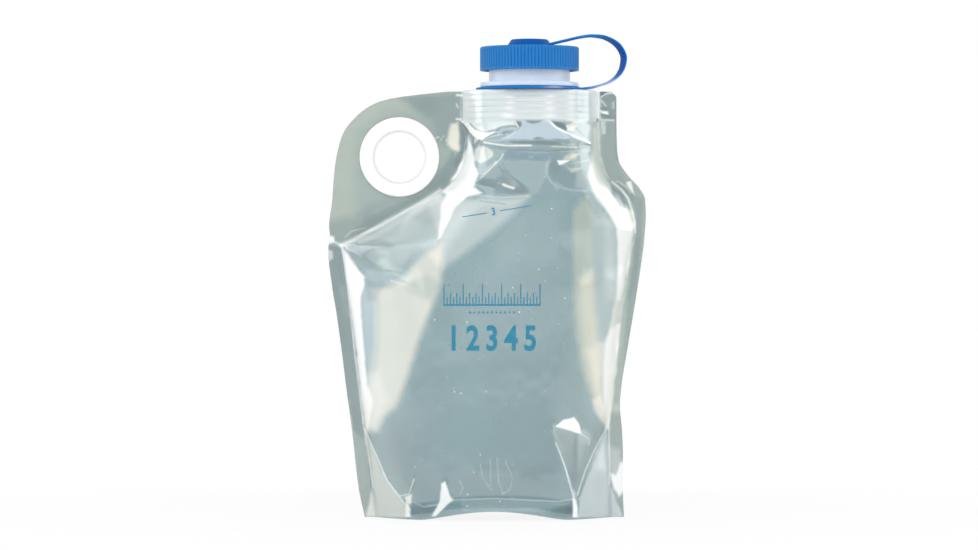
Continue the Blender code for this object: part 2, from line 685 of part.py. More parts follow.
def empty(name, place, turn, parts):
    mark = bpy.data.objects.new(name, None)
    mark.location = place
    mark.rotation_euler = turn
    parts.objects.link(mark)
    return mark


def main():
    clear_scene()
    parts, cutters = collection("collapsible_water_carrier"), collection("cutters")
    film, fitment, grommet = principled("film"), principled("fitment"), principled("grommet_white")
    cap_blue, tether_blue = principled("cap_blue"), principled("tether_blue")
    neck_axis = empty("neck_axis", (NECK_AXIS_X, 0, 0), (0, 0, 0), parts)
    handle_axis = empty("handle_axis", (GROMMET_X, 0, GROMMET_Z), (math.radians(90), 0, 0), parts)

    tools = film_tools(cutters)
    film_panel("front_film_panel", -1, film, parts, tools)
    film_panel("back_film_panel", 1, film, parts, tools)
    base_gusset(film, parts)
    neck_fitment(fitment, parts, cutters, neck_axis)
    screw_cap(cap_blue, parts, cutters, neck_axis)
    tether_collar(tether_blue, parts, neck_axis)
    tether_strap(tether_blue, parts, neck_axis)
    tether_neck_ring(tether_blue, parts, neck_axis)
    grommet_half("grommet_front_half", True, -1, grommet, parts, handle_axis)
    grommet_half("grommet_back_half", False, 1, grommet, parts, handle_axis)


main()
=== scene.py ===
import math

import bmesh
import bpy
import numpy as np
from mathutils import Matrix, Vector, noise
from mathutils.bvhtree import BVHTree


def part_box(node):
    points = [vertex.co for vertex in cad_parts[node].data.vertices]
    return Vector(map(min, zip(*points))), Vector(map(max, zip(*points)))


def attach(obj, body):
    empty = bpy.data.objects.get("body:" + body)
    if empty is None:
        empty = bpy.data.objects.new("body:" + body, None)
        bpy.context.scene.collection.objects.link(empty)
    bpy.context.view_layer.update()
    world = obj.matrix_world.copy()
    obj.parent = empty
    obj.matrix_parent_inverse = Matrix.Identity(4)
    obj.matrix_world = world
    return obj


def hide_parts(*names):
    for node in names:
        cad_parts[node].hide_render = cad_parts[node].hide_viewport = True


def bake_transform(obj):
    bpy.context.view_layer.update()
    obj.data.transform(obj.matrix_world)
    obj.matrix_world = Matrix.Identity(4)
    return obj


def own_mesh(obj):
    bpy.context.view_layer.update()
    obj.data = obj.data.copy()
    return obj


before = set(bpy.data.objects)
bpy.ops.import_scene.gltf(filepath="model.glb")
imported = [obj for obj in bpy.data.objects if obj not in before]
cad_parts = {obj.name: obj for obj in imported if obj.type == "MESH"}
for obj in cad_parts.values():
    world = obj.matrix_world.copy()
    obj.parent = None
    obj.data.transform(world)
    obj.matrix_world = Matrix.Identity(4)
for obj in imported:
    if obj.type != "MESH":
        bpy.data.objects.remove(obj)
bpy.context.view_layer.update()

# The photograph's frame: one pixel is PIXEL metres on the plane y = 0
PIXEL = 0.00068
PHOTO_WIDTH_PX = 978
PHOTO_CENTRE_PX = (489, 275)
PHOTO_ORIGIN_PX = (487, 517)
CAMERA_DISTANCE = 3.0
SENSOR_WIDTH_MM = 36
CAMERA_X = (PHOTO_CENTRE_PX[0] - PHOTO_ORIGIN_PX[0]) * PIXEL
CAMERA_Z = (PHOTO_ORIGIN_PX[1] - PHOTO_CENTRE_PX[1]) * PIXEL

# Sizes read from the frame
FILM_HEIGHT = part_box("front_film_panel")[1].z
BOAT_LOW, BOAT_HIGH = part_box("neck_fitment")
NECK_X = (BOAT_LOW.x + BOAT_HIGH.x) / 2
CAP_LOW, CAP_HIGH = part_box("screw_cap")
COLLAR_LOW, COLLAR_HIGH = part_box("tether_collar")
RING_LOW, RING_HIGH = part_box("tether_neck_ring")
GROMMET_LOW, GROMMET_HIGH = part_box("grommet_front_half")
GROMMET_X = (GROMMET_LOW.x + GROMMET_HIGH.x) / 2
GROMMET_Z = (GROMMET_LOW.z + GROMMET_HIGH.z) / 2
RUN_GAP = 0.00035

# Film pouch, as the solids have it
FILM_HALF_WIDTH = 0.108
BASE_HALF_DEPTH = 0.050
BASE_ARCH = 0.006
ARCH_REACH = 0.035
FOOT_SHARE = 0.62
GUSSET_SAG = 0.006
GUSSET_WIDTH_SHARE = 0.985
GUSSET_FLOOR_GAP = 0.0002
GUSSET_HALF_GAP = 0.0001
WELD_HALF_THICKNESS = 0.0004
SKIRT_GAP = 0.0009
BOAT_HALF_LENGTH = 0.0455
BOAT_HALF_DEPTH = 0.030
BOAT_HEIGHT = 0.020
BOAT_RIBS = 5
BOAT_RIB_DEPTH = 0.0008
RIB_FLANK_SHARES = (0.50, 0.85)
FILM_RIB_SHARE = 0.25
BOAT_TOP = RING_LOW.z - RUN_GAP
BOAT_BOTTOM = BOAT_TOP - BOAT_HEIGHT
BOAT_LEAD = 0.004
SEAM_TIP_SPACE = 0.001
FILM_HOLE_RADIUS = 0.0215
LENS_FULLNESS = 0.6
SEAM_EASE = 0.006
SEAM_EASE_STEPS = 9
SEAM_EASE_SHARES = (1.0, 0.8)
BASE_SEAM_STEP = 0.0018
BASE_SEAM_FADE = 0.006
BASE_SEAM_FADE_SHARES = (1.0, 0.9)
CREASE_CREST = 0.02
CREASE_ENDS_PX = 6.0
RELIEF_FADE_SHARES = (1.0, 0.93)
# Slow waves of the film: height, span, how much closer together they are along X, and seed
FILM_WAVES = ((0.00030, 0.022, 1, 0), (0.00010, 0.009, 1.6, 2))
FRONT_SEED, BACK_SEED = 3.0, 8.0

# The sheets' grids. Their rows: how far up, as a share of the height, then the step between rows
ROW_STEP_SHARES = (
    (0.0, 0.0007), (0.22, 0.0007), (0.28, 0.0011), (0.54, 0.0011), (0.60, 0.00055), (1.0, 0.00055),
)
ROW_SAMPLES = 2001
CHAMBER_COLUMNS = 300
CHAMBER_SPREAD = 0.3
WEB_COLUMNS = 70
BAND_COLUMNS = 16
BASE_COLUMNS = 200
SKIRT_STEPS = 24
SADDLE_STEPS = 40
BACK_COARSENESS = 1.5
BACK_BLUR = 1.8
BACK_SOFTEST_PX = 2.0

# The film's values at each point: how white, from its haze and from painted highlights and reflections, how
# warm (0 blue, 1 cream), how dark, from painted shade, and how far it is the weld over the fitment
FILM_VALUES = ("haze_and_highlight", "warmth", "shade", "clear")
UNTINTED = 0.5
TINTED_DARK_SHARE = 0.15
LEAST_HAZE = 1e-6
WEB_HAZE = 0.21
WEB_TINT = 1.0
BOAT_HAZE = 0.70
BOAT_BAND = 0.04
BOAT_BAND_PX = 2.6
TRIM_HAZE = 0.25
TRIM_SHADE = 0.35
OUTLINE_WOBBLE_PX = 0.8
OUTLINE_WOBBLE_SPAN = 0.006
OUTLINE_WOBBLE_SEEDS = (12, 15)

# Printed marks, in photo pixels
MARK_FILL_LINES = (((462, 217), (487, 212.9)), ((500, 210.8), (532, 205.6)))
MARK_FILL_HALF_WIDTH = 0.45
MARK_FILL_PLACE = (493.5, 211.9)
MARK_FILL_HEIGHT = 7.5
MARK_FILL_TILT_DEGREES = -9
MARK_FILL_BOLDNESS = 0.25
MARK_SCALE_SPAN = (444, 540)
MARK_SCALE_Y = 305
MARK_SCALE_HALF_WIDTH = 0.8
MARK_TICKS = 6
MARK_TICK_HEIGHTS = (21, 12, 8)
MARK_TICK_HALF_WIDTH = 0.55
MARK_DOTS = 11
MARK_DOTS_SPAN = (470, 514)
MARK_DOTS_Y = 312.5
MARK_DOT_HALF_WIDTH = 0.9
MARK_NUMBERS = 5
MARK_NUMBER_Y = 339.5
MARK_NUMBER_HEIGHT = 24
MARK_NUMBER_BOLDNESS = 0.9
MARK_CURVE_STEPS = 4
DIGIT_HEIGHT_SHARE = 0.70
DIGIT_SQUEEZE = 0.78
MARK_CELL = 3.0
MARK_STANDOFF = 0.00012

# Roundings of moulded edges, from the sharpest to the softest
HAIR_ROUND = 0.0002
CRISP_ROUND = 0.0003
FINE_ROUND = 0.0004
THIN_ROUND = 0.0005
RIM_ROUND = 0.0006
FLANGE_ROUND = 0.0007
SOFT_ROUND = 0.0008
COLLAR_ROUND = 0.0010
GROMMET_ROUND = 0.0011
CAP_EDGE_ROUND = 0.0016
ROUND_STEPS = 5
ROUND_LONGEST_SHARE = 0.48
SHARP_DEGREES = 50

# Neck fitment, cap and tether, as the solids have them
NECK_RADIUS = 0.02765
BORE_RADIUS = 0.02525
FLANGE_RADIUS = 0.0335
FLANGE_HEIGHT = 0.0033
FLANGE_BOTTOM = RING_HIGH.z + RUN_GAP
FLANGE_TOP = FLANGE_BOTTOM + FLANGE_HEIGHT
NECK_RIM = BOAT_HIGH.z
BOAT_STEPS = 120
BOAT_LEVELS = 60
THREAD_LEAD = 0.0042
THREAD_TURNS = 1.5
THREAD_TAPER_TURNS = 0.12
THREAD_ROOT_WIDTH = 0.0016
THREAD_CREST_WIDTH = 0.0008
THREAD_HEIGHT = 0.0022
THREAD_SINK = 0.0004
THREAD_RIM_GAP = 0.0032
THREAD_START = NECK_RIM - THREAD_RIM_GAP - THREAD_LEAD * THREAD_TURNS
THREAD_STEPS = 96
CAP_RADIUS = (CAP_HIGH.x - CAP_LOW.x) / 2
CAP_ROOF = 0.0024
COLLAR_REST_GAP = 0.0003
CAP_TOP = COLLAR_LOW.z - COLLAR_REST_GAP
CAP_SKIRT_WALL = 0.0032
PLUG_DEPTH = 0.004
PLUG_WALL = 0.0016
KNURL_DEPTH = 0.0007
KNURL_RIBS = 90
KNURL_SAMPLES = 8
KNURL_FULLNESS = 0.98
KNURL_BAND = 0.0016
KNURL_BOTTOM = CAP_LOW.z + KNURL_BAND
KNURL_FADE = 0.0004
KNURL_OVER_INSETS = (0.0014, 0.0002)
KNURL_DEEPEST = 1.5
GRIP_ROWS = 30
GROOVE_SHADE = 0.5
BOSS_RADIUS = 0.0086
BOSS_HEAD_RADIUS = 0.0102
COLLAR_STEP_HEIGHT = 0.003
BOSS_HEAD_BOTTOM = COLLAR_LOW.z + COLLAR_STEP_HEIGHT + RUN_GAP
COLLAR_TOP_RADIUS = 0.01235
COLLAR_STEPS = 144
RING_INNER_RADIUS = NECK_RADIUS + 2 * RUN_GAP
RING_WIDTH = 0.0081
RING_OUTER_RADIUS = RING_INNER_RADIUS + RING_WIDTH
RING_MIDDLE = (RING_LOW.z + RING_HIGH.z) / 2
RING_STEPS = 192
# A painted highlight on the ring's front: its strength, where it sits along X and how far it reaches
RING_PAINTED_GLINT = 0.6
RING_PAINTED_GLINT_X = 0.0165
RING_PAINTED_GLINT_REACH = 0.0055
STRAP_WIDTH = 0.008
STRAP_THICKNESS = 0.0016
STRAP_ROUND_SHARE = 0.3
STRAP_ROUND_STEPS = 5
STRAP_REACH = 0.0641
STRAP_RISE = 0.0361
STRAP_STEPS = 140
STRAP_TWIST_DEGREES = 24
GROMMET_RADIUS = 0.0271
GROMMET_BORE_RADIUS = 0.0172
GROMMET_SLEEVE_RADIUS = 0.0188
GROMMET_SEAT_GAP = 0.0003
GROMMET_STEPS = 160
# The thin grey ring of painted shade at the grommet's bore edge: how far it stands off, and its width
BORE_SHADE_STANDOFF = 0.0001
BORE_SHADE_WIDTH = 0.0012

# Finishes. A pair is the range that a value is taken from or to. A dictionary is what a node's sockets are
# set to
FILM_COLOR, FILM_ROUGHNESS, FILM_IOR = (0.2, 0.33, 0.35), 0.16, 1.9
FILM_GLOSS = {"Specular IOR Level": 0.8, "Coat Weight": 0.6, "Coat Roughness": 0.09}
FILM_ROUGHNESSES = (0.12, 0.24)
FILM_CLOUD = {"Scale": 45, "Detail": 4}
FILM_RIPPLE = {"Strength": 0.10, "Distance": 0.0004}
CLEAR_COLOR = (0.120, 0.28, 0.305, 1)
# Colour that painted shade darkens the film towards
PAINTED_SHADE_COLOR = (0.01, 0.06, 0.09, 1)
# Colours that haze and painted highlights whiten the film towards: blue, plain and cream
BLUE_TINT, NO_TINT, CREAM_TINT = (0.30, 0.55, 0.95, 1), (0.98, 1, 0.99, 1), (0.98, 0.87, 0.60, 1)
CLOUD_HAZES = (-0.025, 0.025)
# Specks: each fills the middle of a cell of a fine pattern, in a few cells only, and where the haze is low
SPECK_CELLS = {"Scale": 230}
SPECK_EDGE = (0.20, 0.08)
SPECK_CHOICE = (0.84, 0.98)
SPECK_STRENGTHS = (0, 0.80)
SPECK_HAZE_EDGE = (0.20, 0.05)
FILM_COVERS = (0.62, 0.95)
WELD_COVER = 0.78
PLASTIC_IOR = 1.49
PLASTIC_MOTTLE = {"Scale": 90, "Detail": 3}
PLASTIC_GRAIN = {"Scale": 2400}
PLASTIC_BUMP = {"Strength": 0.12, "Distance": 0.0001}
MOTTLE_SHARES = (0.94, 1.06)
MOTTLE_ROUGHNESS = (-0.05, 0.06)
# Colour of a painted highlight on plastic, and the shares of a plastic's colour kept in its painted shade
PAINTED_SHEEN = (0.38, 0.47, 0.72)
PAINTED_SHADE_SHARES = (0.2, 0.33, 0.65)
INK_COLOR, INK_ROUGHNESS = (0.004, 0.21, 0.34), 0.38
INK_WEAR = {"Scale": 700}
INK_WEAR_EDGE = (0.35, 0.55)
INK_COVERS = (0.80, 0.96)
# Moulded plastics: colour, roughness and how strongly the surface mirrors
PLASTICS = {
    "fitment_white": ((0.59, 0.68, 0.79), 0.30, 0.5),
    "cap_blue_plastic": ((0.018, 0.175, 0.47), 0.36, 0.1),
    # The collar's blue is a darker copy of the tether's: painted shade on the same plastic
    "collar_blue_painted_shade_plastic": ((0.003, 0.092, 0.360), 0.46, 0.08),
    "tether_blue_plastic": ((0.006, 0.175, 0.500), 0.46, 0.1),
    "grommet_plastic": ((0.84, 0.835, 0.835), 0.42, 0.2),
    # Grey-pink colour of the painted shade at the grommet's bore edge
    "grommet_bore_shade_plastic": ((0.70, 0.68, 0.69), 0.50, 0.2),
}

# Studio. The world is dimmer on the camera's side, and the floor glows white away from the carrier
WHITE = (1, 1, 1)
WORLD_SIDES = (-0.2, 0.5)
WORLD_STRENGTHS = (0.40, 1.0)
FLOOR_HALF_WIDTH = 6.0
FLOOR_COLOR, FLOOR_ROUGHNESS = (0.85, 0.85, 0.85), 0.8
FLOOR_DISTANCES = (0.15, 0.6)
FLOOR_GLOWS = (0.88, 1.0)
# Soft boxes: name, azimuth and elevation in degrees, distance, width and height, radiance, colour, and True
# where it only shows in reflections, False where it only gives light. Azimuth 0 is the camera's side, and
# positive is to the right
LAMPS = (
    ("left_box", -55, 22, 1.7, (1.6, 1.3), 1.1, (0.96, 1.0, 0.98), True),
    ("left_edge", -100, 20, 1.6, (0.8, 1.3), 2.2, WHITE, True),
    ("right_box", 72, 20, 1.7, (0.6, 1.3), 1.3, (1.0, 0.96, 0.86), True),
    ("right_edge", 100, 20, 1.6, (0.8, 1.3), 2.2, WHITE, True),
    ("fill", 0, 18, 2.2, (2.2, 1.7), 1.45, WHITE, False),
    ("fill_left", -75, 10, 1.8, (1.2, 1.4), 1.4, WHITE, False),
    ("fill_right", 75, 10, 1.8, (1.2, 1.4), 1.2, WHITE, False),
    ("front_lamp", -21, 42, 1.9, (0.45, 0.45), 9.0, WHITE, False),
    ("front_glint", -21, 42, 1.9, (0.45, 0.45), 3.0, WHITE, True),
    ("front_lamp", 21, 42, 1.9, (0.45, 0.45), 9.0, WHITE, False),
    ("front_glint", 21, 42, 1.9, (0.45, 0.45), 3.0, WHITE, True),
)

# The pouch's edges and seams: how far up, as a share of its height, then how far out from the middle, as a
# share of its half width
LEFT_EDGE_SHARES = (
    (0.000, -0.769), (0.064, -0.806), (0.205, -0.850), (0.289, -0.881), (0.402, -0.919),
    (0.487, -0.951), (0.543, -0.976), (0.628, -1.000), (0.660, -0.989), (0.684, -0.994),
    (0.740, -0.976), (0.825, -0.957), (0.881, -0.926), (0.910, -0.894), (0.931, -0.850),
    (0.957, -0.774), (0.973, -0.699), (0.982, -0.623), (0.987, -0.548), (0.994, -0.396),
    (1.000, -0.245),
)
RIGHT_EDGE_SHARES = (
    (0.000, 0.863), (0.064, 0.856), (0.148, 0.856), (0.205, 0.850), (0.261, 0.837),
    (0.317, 0.850), (0.374, 0.875), (0.430, 0.900), (0.515, 0.938), (0.604, 0.974),
    (0.649, 0.989), (0.711, 1.000), (0.747, 0.995), (0.773, 0.959), (0.803, 0.887),
    (0.838, 0.830), (0.865, 0.819), (0.935, 0.815), (0.985, 0.815), (1.000, 0.785),
)
LEFT_SEAM_SHARES = (
    (0.000, -0.704), (0.064, -0.731), (0.205, -0.772), (0.289, -0.806), (0.402, -0.837),
    (0.487, -0.869), (0.600, -0.915), (0.636, -0.921), (0.674, -0.733), (0.730, -0.503),
    (0.776, -0.293), (0.801, -0.198), (0.844, -0.148), (0.898, -0.130),
)
RIGHT_SEAM_SHARES = (
    (0.000, 0.792), (0.064, 0.782), (0.206, 0.762), (0.289, 0.787), (0.374, 0.812),
    (0.487, 0.844), (0.543, 0.875), (0.599, 0.888), (0.679, 0.933), (0.711, 0.919),
    (0.754, 0.870), (0.798, 0.760), (0.825, 0.728), (0.854, 0.710), (0.898, 0.700),
)
# The pouch's half depth up its height, as shares of the height and of the base's half depth
HALF_DEPTH_SHARES = (
    (0.00, 1.00), (0.10, 1.00), (0.25, 0.95), (0.45, 0.92), (0.60, 0.88),
    (0.70, 0.80), (0.80, 0.70), (0.88, 0.65),
)
# The gusset's seam across the chamber, from -1 to 1: how high, as a share of the height
BASE_SEAM_SHARES = (
    (-1.00, 0.213), (-0.93, 0.139), (-0.84, 0.074), (-0.73, 0.034), (-0.60, 0.028), (-0.30, 0.038),
    (0.00, 0.042), (0.40, 0.040), (0.60, 0.034), (0.70, 0.036), (0.76, 0.072), (0.87, 0.128),
    (1.00, 0.206),
)
# How far out, as a share of STRAP_REACH, then how high, as a share of STRAP_RISE
STRAP_PATH_SHARES = (
    (0.22, 0.845), (0.40, 0.92), (0.54, 0.975), (0.65, 1.0), (0.755, 0.985), (0.877, 0.90), (0.958, 0.77),
    (1.0, 0.58), (0.986, 0.41), (0.931, 0.245), (0.838, 0.125), (0.73, 0.06), (0.665, 0.028), (0.55, 0.0),
)
# How far along the strap, as a share of its length, then the share of its full twist
STRAP_TWIST_SHARES = (
    (0.00, 0.00), (0.25, 0.05), (0.40, 0.45), (0.52, 0.90), (0.60, 1.00), (0.68, 0.80), (0.76, 0.35),
    (0.84, 0.10), (1.00, 0.00),
)
# How much painted highlight, a pale sheen, or with a minus how much painted shade, the strap's outer and
# inner face have along it
STRAP_OUTER_PAINTED_LIGHT = (
    (0.00, 0.00), (0.58, 0.00), (0.68, 0.70), (0.84, 0.75), (0.93, 0.30), (1.00, 0.00),
)
STRAP_INNER_PAINTED_LIGHT = (
    (0.00, 0.00), (0.30, -0.20), (0.42, -0.70), (0.66, -0.80), (0.71, -0.60), (0.78, 0.50), (0.86, 0.75),
    (0.93, 0.15), (1.00, 0.00),
)


def smooth_curve(points):
    """A curve through the points that never overshoots them; it takes a number or an array."""
    xs, ys = np.array(points, float).T
    steps = np.diff(xs)
    slopes = np.diff(ys) / steps
    tangents = np.zeros(len(xs))
    tangents[0], tangents[-1] = slopes[0], slopes[-1]
    for i in range(1, len(xs) - 1):
        before, after = slopes[i - 1], slopes[i]
        if before * after > 0:
            left, right = 2 * steps[i] + steps[i - 1], steps[i] + 2 * steps[i - 1]
            tangents[i] = (left + right) / (left / before + right / after)

    def value(x):
        x = np.clip(x, xs[0], xs[-1])
        i = np.minimum(np.searchsorted(xs, x, side="right") - 1, len(steps) - 1)
        t = (x - xs[i]) / steps[i]
        start = (1 + 2 * t) * (1 - t) ** 2 * ys[i] + t * (1 - t) ** 2 * steps[i] * tangents[i]
        end = t * t * (3 - 2 * t) * ys[i + 1] + t * t * (t - 1) * steps[i] * tangents[i + 1]
        return start + end

    return value


def scaled(table, first, second):
    return [(a * first, b * second) for a, b in table]


def seam_curve(table, side):
    """Where a sheet's seam runs, up to the fitment's end on that side."""
    tip = NECK_X + side * (BOAT_HALF_LENGTH + SEAM_TIP_SPACE)
    return smooth_curve(
        scaled(table, FILM_HEIGHT, FILM_HALF_WIDTH) + [(BOAT_BOTTOM, tip), (FILM_HEIGHT, tip)]
    )


left_edge = smooth_curve(scaled(LEFT_EDGE_SHARES, FILM_HEIGHT, FILM_HALF_WIDTH))
right_edge = smooth_curve(scaled(RIGHT_EDGE_SHARES, FILM_HEIGHT, FILM_HALF_WIDTH))
left_seam = seam_curve(LEFT_SEAM_SHARES, -1)
right_seam = seam_curve(RIGHT_SEAM_SHARES, 1)
half_depth = smooth_curve(
    scaled(HALF_DEPTH_SHARES, FILM_HEIGHT, BASE_HALF_DEPTH)
    + [(BOAT_BOTTOM, BOAT_HALF_DEPTH), (FILM_HEIGHT, BOAT_HALF_DEPTH)]
)
base_seam = smooth_curve(scaled(BASE_SEAM_SHARES, 1, FILM_HEIGHT))


def lens(share):
    """The pouch's plump profile: 1 in the middle, 0 at -1 and 1."""
    return (1 - share**2) * (1 + LENS_FULLNESS * share**2)


def smoothstep(low, high, value):
    t = np.clip((value - low) / (high - low), 0, 1)
    return t * t * (3 - 2 * t)


def rib_inset(z):
    """How far the boat's side lies in from its ribs' crests: 0 on a crest, the rib depth in a valley."""
    phase = (z - BOAT_BOTTOM) / BOAT_HEIGHT * BOAT_RIBS
    off = np.abs(phase - np.floor(phase) - 0.5) * 2
    return BOAT_RIB_DEPTH * smoothstep(*RIB_FLANK_SHARES, off)


def photo_px(x, depth, z):
    """Where a point at that depth in front of the plane y = 0 shows in the photograph."""
    nearer = CAMERA_DISTANCE / (CAMERA_DISTANCE - depth) / PIXEL
    return PHOTO_CENTRE_PX[0] + (x - CAMERA_X) * nearer, PHOTO_CENTRE_PX[1] - (z - CAMERA_Z) * nearer


def crease(px, py, start, end, height, left_px, right_px, crest):
    """A ridge, or with a negative height a groove, that falls off over its own width on each side. The nearer
    crest is to 0, the sharper it is."""
    (ax, ay), (bx, by) = start, end
    run, fall = bx - ax, by - ay
    length = math.dist(start, end)
    along = ((px - ax) * run + (py - ay) * fall) / length
    side = ((py - ay) * run - (px - ax) * fall) / length
    beyond = np.maximum(np.maximum(-along, along - length), 0)
    width = np.where(side > 0, right_px, left_px)
    profile = np.exp(math.sqrt(crest) - np.sqrt((side / width) ** 2 + crest))
    return height * profile * np.exp(-(beyond / CREASE_ENDS_PX) ** 2)


def dent(px, py, centre, radii, turn_degrees, height):
    """A smooth oval bump, or with a negative height a hollow."""
    angle = math.radians(turn_degrees)
    dx, dy = px - centre[0], py - centre[1]
    a = (dx * math.cos(angle) + dy * math.sin(angle)) / radii[0]
    b = (-dx * math.sin(angle) + dy * math.cos(angle)) / radii[1]
    return height * np.exp(-(a * a + b * b))


def fine_noise(x, z, span, seed):
    """Smooth noise from -1 to 1 on arrays of places."""
    flat = [noise.noise(Vector((a / span, b / span, seed))) for a, b in zip(x.ravel(), z.ravel())]
    return np.array(flat).reshape(x.shape)


# Creases of the front sheet in photo pixels: start, end, height in metres, width to the left and to the
# right of the way from start to end
FRONT_CREASES = (
    # Folds that meet in the knot at the left, under the fitment
    ((465, 123), (481, 140), 0.0012, 3.0, 4.0),
    ((481, 140), (497, 132), 0.0008, 3.0, 3.0),
    ((497, 132), (519, 127), 0.0008, 3.0, 3.0),
    ((513, 120), (519, 128), 0.0009, 2.5, 4.0),
    ((483, 142), (545, 145), 0.0006, 2.0, 2.5),
    ((545, 145), (590, 144), 0.0006, 2.0, 2.5),
    ((508, 141), (584, 145), -0.0008, 2.5, 2.5),
    ((496, 149), (572, 150), -0.0007, 2.5, 5.0),
    # Ridge from the fitment down to the right
    ((548, 119), (566, 132), 0.0014, 6.0, 2.5),
    ((566, 132), (590, 143), 0.0012, 6.0, 2.5),
    # Hollow with three corners at the left
    ((480, 178), (503, 156), 0.0008, 2.5, 5.0),
    ((500, 165), (527, 192), 0.0007, 5.0, 3.0),
    ((476, 184), (527, 194), 0.0006, 4.0, 3.0),
    # Rim of the round hollow at the right
    ((552, 159), (547, 170), 0.0006, 3.0, 2.5),
    ((547, 170), (556, 185), 0.0006, 3.0, 2.5),
    ((556, 185), (583, 191), 0.0006, 3.0, 3.0),
    ((560, 162), (583, 155), 0.0006, 2.5, 3.0),
    # Streak down the left shoulder
    ((470, 136), (455, 190), 0.0010, 7.0, 6.0),
    ((455, 190), (438, 240), 0.0006, 4.0, 6.0),
    # Crumple at the left corner of the chamber
    ((342, 246), (385, 270), 0.0009, 5.0, 5.0),
    ((385, 270), (410, 284), 0.0007, 3.0, 3.0),
    ((385, 270), (389, 290), 0.0007, 3.0, 3.0),
    # Right shoulder
    ((613, 184), (628, 197), 0.0007, 3.0, 3.0),
    ((628, 197), (634, 216), 0.0007, 3.0, 3.0),
    ((600, 165), (612, 200), 0.0007, 4.0, 4.0),
    # Creases at the foot
    ((553, 430), (574, 499), 0.0008, 1.8, 2.2),
    ((574, 499), (575, 516), 0.0010, 2.0, 2.0),
    ((364, 428), (373, 487), 0.0006, 2.0, 2.0),
    ((404, 502), (414, 480), 0.0008, 2.0, 2.0),
    ((406, 500), (408, 516), 0.0009, 2.5, 2.5),
    ((446, 486), (450, 500), 0.0008, 3.0, 3.0),
    ((450, 500), (437, 515), 0.0008, 3.0, 3.0),
)
# Hollows of the front sheet in photo pixels: centre, its two radii, turn in degrees, height in metres
FRONT_DENTS = (
    ((506, 181), (16, 8), 12, -0.0014),
    ((508, 131), (9, 3), -12, -0.0008),
    ((537, 126), (8, 3.5), 0, -0.0006),
    ((530, 155), (28, 6), 0, -0.0009),
    ((566, 170), (14, 11), 20, -0.0014),
    ((571, 426), (11, 7), 10, -0.0012),
)
